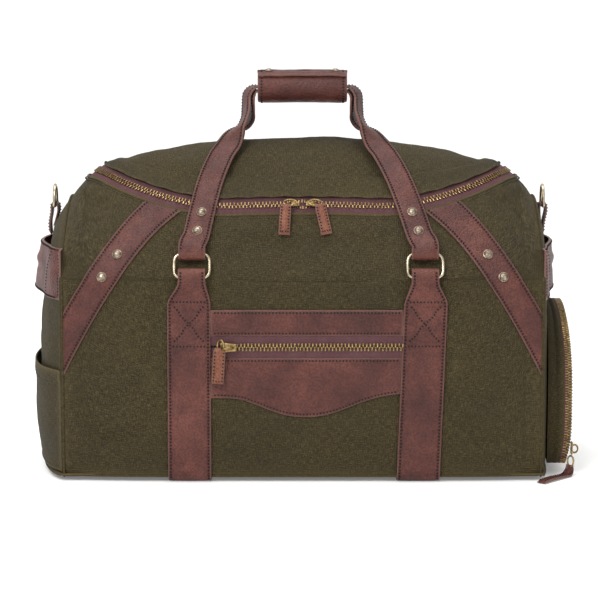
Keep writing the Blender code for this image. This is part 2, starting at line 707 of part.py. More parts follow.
def zipped_pocket():
    """Bellows pocket on the right end: gusset, face, zip round its rim, slider and pull."""
    def base_loop(inset):
        return [end_surface(1, y, z) + Vector((0.0012, 0, 0)) for y, z in pocket_outline(inset)]

    def rim_loop(inset, back):
        return [Vector((pocket_face_x(y, z) - back, y, z)) for y, z in pocket_outline(inset)]

    gusset = [base_loop(0.0), rim_loop(0.0, 0.0022), rim_loop(0.0016, 0.0022), base_loop(0.0016)]
    add_node("end_pocket_gusset", *loft(gusset, closed=True), CANVAS)
    face = []
    for back in (0.0016, 0.0):
        for inset in ((0.070, 0.035, 0.0) if back else (0.0, 0.035, 0.070)):
            face.append(rim_loop(inset, back))
    add_node("end_pocket_face", *loft(face), CANVAS)
    outline, inner = pocket_outline(0.0012)[2:-2], pocket_outline(0.0130)[2:-2]
    loops = []
    for (y0, z0), (y1, z1) in zip(outline, inner):
        outer_x, inner_x = pocket_face_x(y0, z0), pocket_face_x(y1, z1)
        loops.append([Vector((outer_x + 0.0005, y0, z0)), Vector((inner_x + 0.0005, y1, z1)),
                      Vector((inner_x + 0.0022, y1, z1)), Vector((outer_x + 0.0022, y0, z0))])
    add_node("end_pocket_zip", *loft(loops), BRASS)
    at = Vector((pocket_face_x(-0.099, 0.027), -0.0990, 0.0270))
    slider("end_pocket_slider", at, Vector((0, 0, -1)), Vector((1, 0, 0)), 0.0150, 0.0105, 0.0038, 0.0070)
    hinge = Vector((0.2738, -0.1118, 0.0120))
    path = [hinge, Vector((0.2720, -0.1140, 0.0050)), Vector((0.2660, -0.1195, 0.0019)), Vector((0.2400, -0.1500, 0.0016))]
    normals = [Vector((0.45, -0.45, 0.4)), Vector((0.4, -0.4, 0.7)), Vector((0, 0, 1)), Vector((0, 0, 1))]
    strap("end_pocket_pull", path, normals, 0.0095, 0.0022, HIDE, origin=hinge)


def strap_anchor(side, word, bar_x):
    """Leather tab and D-ring for a shoulder strap, at the top of an end."""
    bar_z, turn = 0.268, 0.0034
    lower = end_surface(side, 0.0, 0.238).x * side + 0.0040
    inner = end_surface(side, 0.0, 0.247).x * side + 0.0014
    flat = [(inner, 0.247), (bar_x - turn, 0.262)]
    flat += arc((bar_x, bar_z - 0.0004), turn, 180, 0, 7)
    flat += [(bar_x + turn, 0.262), (lower, 0.238)]
    loops = []
    for i, (x, z) in enumerate(flat):
        before, after = flat[max(i - 1, 0)], flat[min(i + 1, len(flat) - 1)]
        ahead = Vector((side * (after[0] - before[0]), 0, after[1] - before[1])).normalized()
        facing = Vector((-ahead.z, 0, ahead.x))
        loops.append(box_section(Vector((side * x, 0, z)), Vector((0, 1, 0)), facing, 0.0200, 0.0016))
    add_node(f"dring_tab_{word}", *loft(loops), HIDE)
    half, height = 0.0128, 0.0215
    path = [Vector((side * bar_x, y, bar_z)) for y in spread(-half + 0.001, half - 0.001, 5)]
    for a in spread(8, 172, 17):
        path.append(Vector((side * bar_x, half * cos(radians(a)), bar_z + height * sin(radians(a)) ** 0.8)))
    wire_loop(f"dring_{word}", path, WIRE, GOLD, origin=(side * bar_x, 0, bar_z))


HINGE_Z = top_point(0.0, HINGE_Y).z


def build():
    clear_scene()
    wall_panel("front_panel", back=False)
    wall_panel("back_panel", back=True)
    end_panel("end_panel_left", -1)
    end_panel("end_panel_right", 1)
    plate("base_panel", base_outline(0.1330, 0.0015), 0.0030, 0.0055, CANVAS)
    board = [(x * 0.94, y * 0.94) for x, y in base_outline(0.1330, 0.0060)]
    plate("base_board", board, 0.0062, 0.0090, BOARD)
    tub("lining", 0.2330, 0.1265, 0.0100, 0.2050, 0.0010, COTTON)
    lid_panel()
    main_zip()
    front_pocket()
    for side, word in ((-1, "left"), (1, "right")):
        band(f"band_{word}", side)
        corner_strap(f"corner_strap_{word}", side)
        for u, place in ((0.375, "upper"), (0.505, "lower")):
            x, z = corner_point(side, u, 0.0)
            at, normal, spot = front_skin_point(x, z, STRAP_LIFT + LEATHER + RIVET_GAP)
            cap_rivet(f"corner_rivet_{word}_{place}", spot, normal, RIVET, 0.0020, NICKEL)
        end_handle(f"end_handle_{word}", side)
        strap_anchor(side, word, {-1: 0.2605, 1: 0.2530}[side])
    slip_pocket()
    zipped_pocket()
    handle("front")
    handle("back")
    handle_wrap()


build()
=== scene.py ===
from math import cos, exp, pi, radians, sin

import bmesh
import bpy
import numpy as np
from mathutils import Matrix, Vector, noise


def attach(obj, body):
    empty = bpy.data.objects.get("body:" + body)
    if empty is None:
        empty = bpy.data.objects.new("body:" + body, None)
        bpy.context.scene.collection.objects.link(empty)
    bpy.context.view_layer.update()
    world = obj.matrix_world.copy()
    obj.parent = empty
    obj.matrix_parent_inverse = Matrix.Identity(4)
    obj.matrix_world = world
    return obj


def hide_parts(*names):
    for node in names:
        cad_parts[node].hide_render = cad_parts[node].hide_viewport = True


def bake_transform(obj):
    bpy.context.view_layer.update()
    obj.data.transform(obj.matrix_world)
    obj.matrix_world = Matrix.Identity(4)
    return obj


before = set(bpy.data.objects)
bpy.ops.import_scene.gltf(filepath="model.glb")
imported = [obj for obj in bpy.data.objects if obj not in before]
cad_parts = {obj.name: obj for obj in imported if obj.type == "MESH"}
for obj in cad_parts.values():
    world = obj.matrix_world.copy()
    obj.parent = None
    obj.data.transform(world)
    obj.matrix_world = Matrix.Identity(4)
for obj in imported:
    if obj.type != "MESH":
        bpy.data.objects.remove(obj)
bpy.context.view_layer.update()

# The bag's driving dimensions. The left end bulges 3 mm more here than in the CAD source.
FRONT_HALF, DEPTH_HALF, CORNER_DRAW = 0.2415, 0.140, 0.008
CREST, WALL_TOP, FOOT, TUCK = 0.343, 0.205, 0.0065, 0.006
SHOULDER = (0.012, 0.075)
WALL_SHARE = 0.42
END_X = 0.2445
END_BULGE = {-1: 0.031, 1: 0.010}
ZIP_Y, ZIP_RUN, ZIP_SIDE = 0.099, 0.070, 0.216
ZIP_REAR = (0.036, 0.0895)
ZIP_END = radians(57)
HINGE_Y = 0.0998
BAND_WIDTH, BAND_TOP_WIDTH = 0.0435, 0.0272
BAND_X = {-1: -0.1137, 1: 0.1166}
BAND_LEAN = {-1: 0.0, 1: 0.0376}
STRAP_WIDTH, STRAP = 0.027, 0.0024
LEAN_FOOT = 0.243
BAR_Y, BAR_Z = 0.1452, 0.208
RING_HALF = (0.01775, 0.0125)
RING_LEAN = radians(20)
RING_X = {-1: -0.1105, 1: 0.1225}
GRIP_Z, WRAP_HALF = 0.3905, 0.0465
WORD = {-1: "left", 1: "right"}

# Needlework and hardware
STITCH_PITCH = 0.0034
STITCH_EDGE = 0.0027
CANVAS_THICK = 0.0022
HIDE_THICK = 0.0021
TOOTH_PITCH = 0.0036
CORNER_HALF = 0.015         # half the width of a corner strap
PULL_SPREAD = 0.0085        # how far a main pull hangs outside its slider


# Camera

def make_camera():
    """A long lens a little above the bag, square to its front."""
    target, distance, height_angle = Vector((-0.0025, -0.140, 0.1855)), 2.3, radians(7.5)
    data = bpy.data.cameras.new("camera")
    data.sensor_width, data.lens = 36.0, 138.0
    camera = bpy.data.objects.new("camera", data)
    camera.location = target + Vector((0.0, -cos(height_angle), sin(height_angle))) * distance
    camera.rotation_euler = (pi / 2 - height_angle, 0.0, 0.0)
    bpy.context.scene.collection.objects.link(camera)
    bpy.context.scene.camera = camera


# Materials

class Finish:
    """A Principled material with short calls for the nodes that feed it."""

    def __init__(self, name, roughness, metallic=0.0, **sockets):
        self.material = bpy.data.materials.new(name)
        self.material.use_nodes = True
        self.tree = self.material.node_tree
        self.shader = self.tree.nodes["Principled BSDF"]
        self.shader.inputs["Roughness"].default_value = roughness
        self.shader.inputs["Metallic"].default_value = metallic
        for socket, value in sockets.items():
            self.shader.inputs[socket.replace("_", " ")].default_value = value

    def add(self, kind, **settings):
        node = self.tree.nodes.new(kind)
        for key, value in settings.items():
            setattr(node, key, value)
        return node

    def put(self, socket, value):
        if isinstance(value, bpy.types.NodeSocket):
            self.tree.links.new(value, socket)
        else:
            socket.default_value = value

    def coordinates(self, kind="Object", stretch=(1.0, 1.0, 1.0), turn=0.0):
        where = self.add("ShaderNodeTexCoord").outputs[kind]
        mapping = self.add("ShaderNodeMapping")
        self.put(mapping.inputs["Vector"], where)
        self.put(mapping.inputs["Scale"], stretch)
        self.put(mapping.inputs["Rotation"], (0.0, 0.0, turn))
        return mapping.outputs["Vector"]

    def noise(self, where, scale, detail=3.0, rough=0.55):
        node = self.add("ShaderNodeTexNoise")
        for key, value in (("Vector", where), ("Scale", scale), ("Detail", detail), ("Roughness", rough)):
            self.put(node.inputs[key], value)
        return node.outputs["Fac"]

    def cells(self, where, scale, feature="F1"):
        node = self.add("ShaderNodeTexVoronoi", feature=feature)
        self.put(node.inputs["Vector"], where)
        self.put(node.inputs["Scale"], scale)
        return node.outputs["Distance"]

    def wave(self, where, scale, direction="X", distortion=0.0, detail_scale=1.0):
        node = self.add("ShaderNodeTexWave", wave_type="BANDS", bands_direction=direction)
        for key, value in (("Vector", where), ("Scale", scale), ("Distortion", distortion),
                           ("Detail", 2.0), ("Detail Scale", detail_scale)):
            self.put(node.inputs[key], value)
        return node.outputs["Fac"]

    def sums(self, operation, a, b):
        node = self.add("ShaderNodeMath", operation=operation)
        self.put(node.inputs[0], a)
        self.put(node.inputs[1], b)
        return node.outputs["Value"]

    def ramp(self, share, *stops):
        node = self.add("ShaderNodeValToRGB")
        stripe = node.color_ramp.elements
        while len(stripe) < len(stops):
            stripe.new(0.5)
        for element, (place, colour) in zip(stripe, stops):
            element.position = place
            element.color = (*colour, 1.0) if hasattr(colour, "__len__") else (colour, colour, colour, 1.0)
        self.put(node.inputs["Fac"], share)
        return node.outputs["Color"]

    def mix(self, share, a, b, blend="MIX"):
        node = self.add("ShaderNodeMix", data_type="RGBA", blend_type=blend)
        self.put(node.inputs["Factor"], share)
        for socket, value in ((node.inputs[6], a), (node.inputs[7], b)):
            self.put(socket, (*value, 1.0) if isinstance(value, tuple) else value)
        return node.outputs[2]

    def painted(self, name):
        return self.add("ShaderNodeAttribute", attribute_name=name).outputs["Fac"]

    def bump(self, height, depth, under=None):
        node = self.add("ShaderNodeBump")
        self.put(node.inputs["Height"], height)
        self.put(node.inputs["Distance"], depth)
        self.put(node.inputs["Strength"], 1.0)
        if under is not None:
            self.put(node.inputs["Normal"], under)
        return node.outputs["Normal"]

    def wear(self, colour, roughness=None, normal=None):
        self.put(self.shader.inputs["Base Color"], colour)
        if roughness is not None:
            self.put(self.shader.inputs["Roughness"], roughness)
        if normal is not None:
            self.put(self.shader.inputs["Normal"], normal)
        return self.material


def canvas_finish(name="marled_waxed_canvas", dark=(0.0110, 0.0076, 0.0022), mid=(0.041, 0.0310, 0.0115),
                  light=(0.122, 0.092, 0.038)):
    """Heavy waxed canvas: dark and light yarns mixed in warp and weft, patches of wax and rubbed folds."""
    made = Finish(name, 0.88, Specular_IOR_Level=0.22)
    warp = made.noise(made.coordinates("UV", (1500.0, 170.0, 1.0)), 1.0, 2.0, 0.6)
    weft = made.noise(made.coordinates("UV", (170.0, 1500.0, 1.0)), 1.0, 2.0, 0.6)
    heather = made.noise(made.coordinates("UV", (1.0, 1.0, 1.0)), 640.0, 3.0, 0.8)
    yarns = made.sums("ADD", made.sums("MULTIPLY", warp, 0.34), made.sums("MULTIPLY", weft, 0.34))
    marl = made.sums("ADD", yarns, made.sums("MULTIPLY", heather, 0.32))
    colour = made.ramp(marl, (0.36, dark), (0.50, mid), (0.64, light))
    wax = made.noise(made.coordinates("Object"), 11.0, 4.0, 0.6)
    colour = made.mix(made.ramp(wax, (0.30, 0.62), (0.72, 0.0)), colour, (0.45, 0.44, 0.40), "MULTIPLY")
    folds = made.noise(made.coordinates("Object", (1.0, 1.0, 1.7)), 26.0, 6.0, 0.62)
    crease = made.sums("ABSOLUTE", made.sums("SUBTRACT", folds, 0.5), 0.0)
    rubbed = made.ramp(crease, (0.0, 0.14), (0.020, 0.0))
    colour = made.mix(rubbed, colour, (0.090, 0.068, 0.028))
    colour = made.mix(made.sums("MULTIPLY", made.painted("wear"), 0.45), colour, (0.120, 0.088, 0.036))
    weave = made.sums("MULTIPLY", made.wave(made.coordinates("UV"), 165.0, "X", 1.2, 8.0),
                      made.wave(made.coordinates("UV"), 165.0, "Y", 1.2, 8.0))
    normal = made.bump(made.sums("ADD", weave, made.sums("MULTIPLY", marl, 1.4)), 0.00055)
    roughness = made.ramp(wax, (0.3, 0.66), (0.7, 0.88))
    return made.wear(colour, roughness, normal)


def leather_finish(name, dark, mid, light, cut=(0.150, 0.076, 0.062)):
    """Pebbled pull-up leather, redder where it is rubbed, with pale cut edges."""
    made = Finish(name, 0.50, Specular_IOR_Level=0.30)
    where = made.coordinates("Object")
    patch = made.noise(where, 24.0, 5.0, 0.62)
    colour = made.ramp(patch, (0.28, dark), (0.50, mid), (0.76, light))
    pores = made.noise(where, 950.0, 3.0, 0.6)
    colour = made.mix(made.ramp(pores, (0.36, 0.30), (0.60, 0.0)), colour, (0.50, 0.44, 0.44), "MULTIPLY")
    pebbles = made.cells(where, 560.0, "SMOOTH_F1")
    wrinkle = made.noise(made.coordinates("Object", (1.0, 1.0, 3.2), 0.4), 230.0, 4.0, 0.6)
    colour = made.mix(made.ramp(pebbles, (0.25, 0.0), (0.62, 0.60)), colour, (0.42, 0.36, 0.36), "MULTIPLY")
    colour = made.mix(made.painted("edge"), colour, cut)
    colour = made.mix(made.sums("MULTIPLY", made.painted("fold"), 0.55), colour, (0.150, 0.050, 0.030))
    height = made.sums("SUBTRACT", made.sums("MULTIPLY", wrinkle, 0.9), pebbles)
    normal = made.bump(height, 0.00075)
    roughness = made.ramp(made.noise(where, 60.0, 4.0, 0.6), (0.3, 0.40), (0.75, 0.60))
    return made.wear(colour, roughness, normal)


def tape_finish():
    """Ribbed zip tape with a herringbone in it."""
    made = Finish("purple_brown_tape", 0.9, Specular_IOR_Level=0.2)
    ribs = made.wave(made.coordinates("UV"), 260.0, "X")
    twill = made.wave(made.coordinates("UV", (1.0, 1.0, 1.0), 0.8), 420.0, "X", 0.6, 4.0)
    both = made.sums("ADD", ribs, twill)
    colour = made.ramp(both, (0.2, (0.040, 0.015, 0.017)), (0.9, (0.115, 0.052, 0.056)))
    dust = made.noise(made.coordinates("Object"), 90.0, 4.0)
    colour = made.mix(made.ramp(dust, (0.45, 0.0), (0.8, 0.35)), colour, (0.150, 0.085, 0.085))
    return made.wear(colour, None, made.bump(both, 0.0002))


def metal_finish(name, dark, bright, roughness, grain=70.0):
    """Cast and tumbled metal, darker where its patina is left."""
    made = Finish(name, roughness, 1.0)
    where = made.coordinates("Object")
    patina = made.noise(where, grain, 6.0, 0.65)
    colour = made.ramp(patina, (0.34, dark), (0.60, bright))
    pits = made.noise(where, 1400.0, 3.0, 0.6)
    return made.wear(colour, made.ramp(patina, (0.3, roughness + 0.16), (0.7, roughness - 0.06)),
                     made.bump(pits, 0.00006))


def cotton_finish():
    """Plain cotton lining."""
    made = Finish("striped_cotton_lining", 0.9)
    weave = made.sums("MULTIPLY", made.wave(made.coordinates("UV"), 330.0, "X", 0.5, 6.0),
                      made.wave(made.coordinates("UV"), 330.0, "Y", 0.5, 6.0))
    fade = made.noise(made.coordinates("Object"), 20.0, 4.0)
    colour = made.ramp(fade, (0.3, (0.30, 0.245, 0.165)), (0.7, (0.40, 0.335, 0.235)))
    colour = made.mix(made.ramp(weave, (0.0, 0.35), (0.7, 0.0)), colour, (0.55, 0.52, 0.48), "MULTIPLY")
    return made.wear(colour, None, made.bump(weave, 0.00015))


def plain_finish(name, low, high, roughness, grain):
    made = Finish(name, roughness)
    speck = made.noise(made.coordinates("Object"), grain, 4.0)
    return made.wear(made.ramp(speck, (0.35, low), (0.65, high)), None, made.bump(speck, 0.0001))


CANVAS = canvas_finish()
HIDE = leather_finish("red_brown_pebbled_leather", (0.048, 0.0130, 0.0095), (0.092, 0.0250, 0.0180),
                      (0.165, 0.052, 0.037))
WORN_HIDE = leather_finish("rubbed_pull_leather", (0.115, 0.035, 0.018), (0.195, 0.066, 0.034),
                           (0.290, 0.115, 0.064))
TAPE = tape_finish()
BRASS = metal_finish("antique_brass_teeth", (0.075, 0.048, 0.020), (0.42, 0.29, 0.125), 0.36, 420.0)
GOLD = metal_finish("pale_gold_wire", (0.24, 0.19, 0.12), (0.60, 0.52, 0.38), 0.24, 90.0)
NICKEL = metal_finish("aged_nickel_caps", (0.12, 0.09, 0.065), (0.38, 0.31, 0.24), 0.36, 240.0)
COTTON = cotton_finish()
BOARD = plain_finish("pressed_fibre_board", (0.040, 0.030, 0.022), (0.075, 0.058, 0.042), 0.8, 400.0)
THREAD = plain_finish("waxed_thread", (0.0012, 0.0007, 0.0006), (0.0035, 0.0018, 0.0015), 0.9, 1500.0)
OLIVE_THREAD = plain_finish("olive_thread", (0.016, 0.013, 0.006), (0.050, 0.042, 0.020), 0.7, 1500.0)


# Making and placing pieces

def settle_piece(piece, finish, body, nodes=()):
    """Gives a finished piece its material and the body it moves with."""
    piece.data.materials.clear()
    piece.data.materials.append(finish)
    if body is not None:
        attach(piece, body)
    if nodes:
        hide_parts(*nodes)
    return piece


def new_piece(name, corners, faces, uvs=None, paints=None):
    """A mesh piece with outward faces, its own UV map and its painted attributes."""
    mesh = bpy.data.meshes.new(name)
    mesh.from_pydata([tuple(c) for c in corners], [], [tuple(int(i) for i in f) for f in faces])
    if uvs is not None:
        layer = mesh.uv_layers.new(name="flat")
        order = np.zeros(len(mesh.loops), int)
        mesh.loops.foreach_get("vertex_index", order)
        layer.data.foreach_set("uv", np.asarray(uvs, float)[order].astype(np.float32).ravel())
    for key, values in (paints or {}).items():
        paint = mesh.attributes.new(key, "FLOAT", "POINT")
        paint.data.foreach_set("value", np.asarray(values, np.float32))
    shape = bmesh.new()
    shape.from_mesh(mesh)
    bmesh.ops.recalc_face_normals(shape, faces=shape.faces)
    if shape.calc_volume(signed=True) < 0:
        bmesh.ops.reverse_faces(shape, faces=shape.faces)
    shape.to_mesh(mesh)
    shape.free()
    mesh.shade_smooth()
    mesh.set_sharp_from_angle(angle=radians(50))
    piece = bpy.data.objects.new(name, mesh)
    bpy.context.scene.collection.objects.link(piece)
    return piece


def rim_of(rows, columns):
    """Grid places round the edge of a sheet, in order."""
    rim = [(0, c) for c in range(columns)]
    rim += [(r, columns - 1) for r in range(1, rows)]
    rim += [(rows - 1, c) for c in range(columns - 2, -1, -1)]
    return rim + [(r, 0) for r in range(rows - 2, 0, -1)]


def lengths(points):
    steps = np.linalg.norm(np.diff(points, axis=0), axis=1)
    return np.concatenate([[0.0], np.cumsum(steps)])


def grid_normals(points, inside):
    normals = np.cross(np.gradient(points, axis=0), np.gradient(points, axis=1))
    normals /= np.linalg.norm(normals, axis=2, keepdims=True) + 1e-12
    outward = np.sum(normals * (points - np.asarray(inside)), axis=2).mean() > 0
    return normals if outward else -normals


def sheet_piece(name, points, normals, thick, wear=None, roll=0.4):
    """A thick sheet under a grid of surface points, with a rolled rim."""
    rows, columns = points.shape[:2]
    count = rows * columns
    outer = points.reshape(-1, 3)
    inner = (points - normals * thick).reshape(-1, 3)
    rim = rim_of(rows, columns)
    middle = []
    for r, c in rim:
        inward = points[min(max(r, 1), rows - 2), min(max(c, 1), columns - 2)]
        away = points[r, c] - inward
        away = away - normals[r, c] * away.dot(normals[r, c])
        away /= np.linalg.norm(away) + 1e-9
        middle.append(points[r, c] - normals[r, c] * thick * 0.5 + away * thick * roll)
    corners = np.vstack([outer, inner, np.array(middle)])
    faces = []
    for r in range(rows - 1):
        for c in range(columns - 1):
            a = r * columns + c
            faces.append((a, a + 1, a + 1 + columns, a + columns))
            faces.append((count + a, count + a + columns, count + a + 1 + columns, count + a + 1))
    for k, (r, c) in enumerate(rim):
        after = (k + 1) % len(rim)
        a, b = r * columns + c, rim[after][0] * columns + rim[after][1]
        m, n = 2 * count + k, 2 * count + after
        faces += [(a, m, n, b), (m, count + a, count + b, n)]
    u = lengths(points[:, columns // 2])[:, None] + np.zeros((rows, columns))
    v = lengths(points[rows // 2])[None, :] + np.zeros((rows, columns))
    flat = np.stack([u, v], axis=2)
    uvs = np.vstack([flat.reshape(-1, 2)] * 2 + [np.array([flat[r, c] for r, c in rim])])
    wear = np.zeros((rows, columns)) if wear is None else wear
    paints = {"wear": np.concatenate([wear.ravel()] * 2 + [np.array([wear[r, c] for r, c in rim])])}
    return new_piece(name, corners, faces, uvs, paints)


def smoothstep(value, low, high):
    t = np.clip((np.asarray(value, float) - low) / (high - low), 0.0, 1.0)
    return t * t * (3 - 2 * t)


def folds(points, scale, seed, octaves=3):
    """Soft noise over a grid of points, about -1 to 1."""
    flat = points.reshape(-1, 3) * scale + np.array([seed * 7.3, seed * 3.1, seed * 5.7])
    values = [noise.fractal(Vector(p), 1.0, 2.0, octaves) for p in flat]
    return np.array(values).reshape(points.shape[:2])


def rim_distance(points):
    """Rough distance of every grid point to the sheet's edge, in metres."""
    rows, columns = points.shape[:2]
    down = np.stack([lengths(points[:, c]) for c in range(columns)], axis=1)
    over = np.stack([lengths(points[r]) for r in range(rows)], axis=0)
    near = np.minimum(down, down[-1:, :] - down)
    return np.minimum(near, np.minimum(over, over[:, -1:] - over))


def settled(points, free, slack=0.012, limit=0.0035, frames=16):
    """Cloth simulation of one canvas panel, held where it is sewn, with a little spare cloth between."""
    rows, columns = points.shape[:2]
    mesh = bpy.data.meshes.new("cloth_at_work")
    faces = [(r * columns + c, r * columns + c + 1, (r + 1) * columns + c + 1, (r + 1) * columns + c)
             for r in range(rows - 1) for c in range(columns - 1)]
    mesh.from_pydata([tuple(p) for p in points.reshape(-1, 3)], [], faces)
    cloth = bpy.data.objects.new("cloth_at_work", mesh)
    bpy.context.scene.collection.objects.link(cloth)
    held = cloth.vertex_groups.new(name="sewn")
    for i, share in enumerate(1.0 - np.clip(free.ravel(), 0.0, 1.0)):
        held.add([i], float(share), "REPLACE")
    modifier = cloth.modifiers.new("cloth", "CLOTH")
    setting = modifier.settings
    setting.quality = 5
    setting.mass = 0.35
    setting.tension_stiffness = setting.compression_stiffness = 18.0
    setting.bending_stiffness = 6.0
    setting.shrink_min = -slack
    setting.vertex_group_mass = "sewn"
    setting.pin_stiffness = 5.0
    setting.effector_weights.gravity = 0.5
    modifier.point_cache.frame_end = frames
    for step in range(1, frames + 1):
        bpy.context.scene.frame_set(step)
    seen = cloth.evaluated_get(bpy.context.evaluated_depsgraph_get())
    after = np.array([v.co for v in seen.data.vertices], float).reshape(points.shape)
    bpy.context.scene.frame_set(1)
    bpy.data.objects.remove(cloth)
    moved = after - points
    size = np.linalg.norm(moved, axis=2, keepdims=True)
    moved *= np.minimum(1.0, limit / np.maximum(size, 1e-9))
    return points + moved * smoothstep(free, 0.0, 0.6)[..., None]


# The bag's outer surface

def half_depth(x):
    return DEPTH_HALF - CORNER_DRAW * (abs(x) / FRONT_HALF) ** 6


def crest(x):
    height = CREST - 0.028 * (abs(x) / 0.2) ** 2.3
    return height - 0.02 * (max(0.0, abs(x) - 0.2) / 0.04) ** 2


def wall_point(x, v):
    """Front half of the cross-section at x, from its foot (v = 0) to the crest (v = 1)."""
    b, h = half_depth(x), crest(x)
    if v < WALL_SHARE:
        z = FOOT + (WALL_TOP - FOOT) * v / WALL_SHARE
        return Vector((x, TUCK * max(0.0, 1 - z / 0.02) ** 2 - b, z))
    t = (v - WALL_SHARE) / (1 - WALL_SHARE)
    rise = (h - WALL_TOP) / (CREST - WALL_TOP)
    ys = (-b, -b, -SHOULDER[1] * b / DEPTH_HALF, 0.0)
    zs = (WALL_TOP, WALL_TOP + SHOULDER[0] * rise, h, h)
    mix = ((1 - t) ** 3, 3 * (1 - t) ** 2 * t, 3 * (1 - t) * t * t, t ** 3)
    return Vector((x, sum(m * y for m, y in zip(mix, ys)), sum(m * z for m, z in zip(mix, zs))))


def solve(measure, target, low, high):
    rising = measure(high) > measure(low)
    for _ in range(32):
        middle = (low + high) / 2
        if (measure(middle) < target) == rising:
            low = middle
        else:
            high = middle
    return (low + high) / 2


def v_at_depth(x, y):
    return solve(lambda v: wall_point(x, v).y, -abs(y), WALL_SHARE, 1.0)


def v_at_height(x, z):
    return solve(lambda v: wall_point(x, v).z, z, 0.0, 1.0)


def top_point(x, y):
    return Vector((x, y, wall_point(x, v_at_depth(x, y)).z))


def normal_at(surface, u, v, away_from, step=0.0008):
    across = surface(u + step, v) - surface(u - step, v)
    along = surface(u, v + step) - surface(u, v - step)
    normal = across.cross(along).normalized()
    return normal if normal.dot(surface(u, v) - Vector(away_from)) > 0 else -normal


def top_normal(x, y):
    y = max(-DEPTH_HALF + 0.012, min(DEPTH_HALF - 0.012, y))
    return normal_at(top_point, x, y, (x, 0.0, 0.1))


def front_skin(x, z, back=False):
    """Point and normal of the front or back wall at a place of its elevation."""
    v = v_at_height(x, z)
    at, normal = wall_point(x, v), normal_at(wall_point, x, v, (x, 0.0, 0.1))
    if back:
        at.y, normal.y = -at.y, -normal.y
    return at, normal


def zip_plan(s):
    side, s = (-1 if s < 0 else 1), abs(s)
    if s < 0.2:
        x, y = ZIP_RUN * s / 0.2, -ZIP_Y
    elif s < 0.75:
        turn = pi / 2 * (s - 0.2) / 0.55
        x, y = ZIP_RUN + (ZIP_SIDE - ZIP_RUN) * sin(turn), -ZIP_Y * cos(turn)
    else:
        turn = ZIP_END * (s - 0.75) / 0.25
        x, y = ZIP_SIDE - ZIP_REAR[0] * (1 - cos(turn)), ZIP_REAR[1] * sin(turn)
    return side * x, y


def zip_frame(s):
    """A point of the main zip, the way to the lid along the surface, and the surface normal."""
    at = top_point(*zip_plan(s))
    ahead = top_point(*zip_plan(min(1.0, s + 0.004))) - top_point(*zip_plan(max(-1.0, s - 0.004)))
    normal = top_normal(at.x, at.y)
    return at, normal.cross(ahead.normalized()).normalized(), normal


def zip_point(s, across, lift=0.0):
    at, inward, normal = zip_frame(s)
    return at + inward * across + normal * (lift - across ** 2 / (2 * DEPTH_HALF))


def end_surface(side, y, z):
    share = min(1.0, max(0.0, z / crest(FRONT_HALF)))
    round_depth = max(0.0, 1 - (y / half_depth(FRONT_HALF)) ** 2) ** 0.7
    round_height = max(0.0, sin(pi * (0.28 + 0.72 * share))) ** 0.5
    return Vector((side * (END_X + END_BULGE[side] * round_depth * round_height), y, z))


def end_skin(side, y, z):
    """End surface drawn in to the seam along its whole outline."""
    at = end_surface(side, y, z)
    reach = half_depth(FRONT_HALF)
    top = wall_point(FRONT_HALF, v_at_depth(FRONT_HALF, min(abs(y), reach - 0.0002))).z
    pull = exp(-max(0.0, min(reach - abs(y), top - z)) / 0.009)
    at.x += (side * (FRONT_HALF + 0.0010) - at.x) * pull
    return at


def corner_centre(u):
    """Front view of a corner strap's centre line, from the main zip down to the end seam."""
    a, b, c = Vector((0.146, 0.2715)), Vector((0.196, 0.232)), Vector((0.262, 0.098))
    curve = max(0.0, u)
    at = a * (1 - curve) ** 2 + b * 2 * curve * (1 - curve) + c * curve * curve + (b - a) * 2 * min(0.0, u)
    ahead = ((b - a) * (1 - curve) + (c - b) * curve).normalized()
    return at, Vector((-ahead.y, ahead.x))


def band_centre(side, z):
    return BAND_X[side] + BAND_LEAN[side] * z


# Outline of the lid's opening: along the zip, round its rear ends and across the hinge line

EDGE_TABLE = {}


def zip_edge(across):
    """Plan of a line beside the zip for half the bag: x and y from the front middle to the zip's rear end."""
    if across not in EDGE_TABLE:
        EDGE_TABLE[across] = np.array([zip_point(s, across)[:2] for s in np.linspace(0.0, 1.0, 121)])
    return EDGE_TABLE[across]


def front_edge_y(x, across):
    line = zip_edge(across)[:91]
    return float(np.interp(abs(x), line[:, 0], line[:, 1]))


def rear_edge_y(x, across, hinge_gap, corner):
    """Depth of the rear edge: hinge line, rounded corner at the zip's end, then the zip's own arm."""
    start, (corner_x, corner_y) = 0.150, corner
    x = abs(x)
    if x <= start:
        return HINGE_Y + hinge_gap
    if x <= corner_x:
        share = ((x - start) / (corner_x - start)) ** 2.2
        return corner_y + (HINGE_Y + hinge_gap - corner_y) * (1 - share)
    arm = zip_edge(across)[90:]
    return float(np.interp(-x, -arm[:, 0], arm[:, 1]))


# Canvas shell

def mirrored(values):
    values = np.asarray(values)
    mirrored = -values[::-1][:-1] if values[0] == 0 else -values[::-1]
    return np.concatenate([mirrored, values])


def cover_free(x, z):
    """How free the canvas of a long wall is to move: nothing under sewn leather, one in the open."""
    free = 1.0
    for side in (-1, 1):
        free *= float(smoothstep(abs(x - band_centre(side, z)), 0.023, 0.042))
    for u in np.linspace(0.0, 1.0, 9):
        at, _ = corner_centre(u)
        free *= float(smoothstep((Vector((abs(x), z)) - at).length, 0.020, 0.040))
    pocket = max(abs(x - 0.004) - 0.098, abs(z - 0.125) - 0.062)
    return free * float(smoothstep(pocket, 0.004, 0.022))


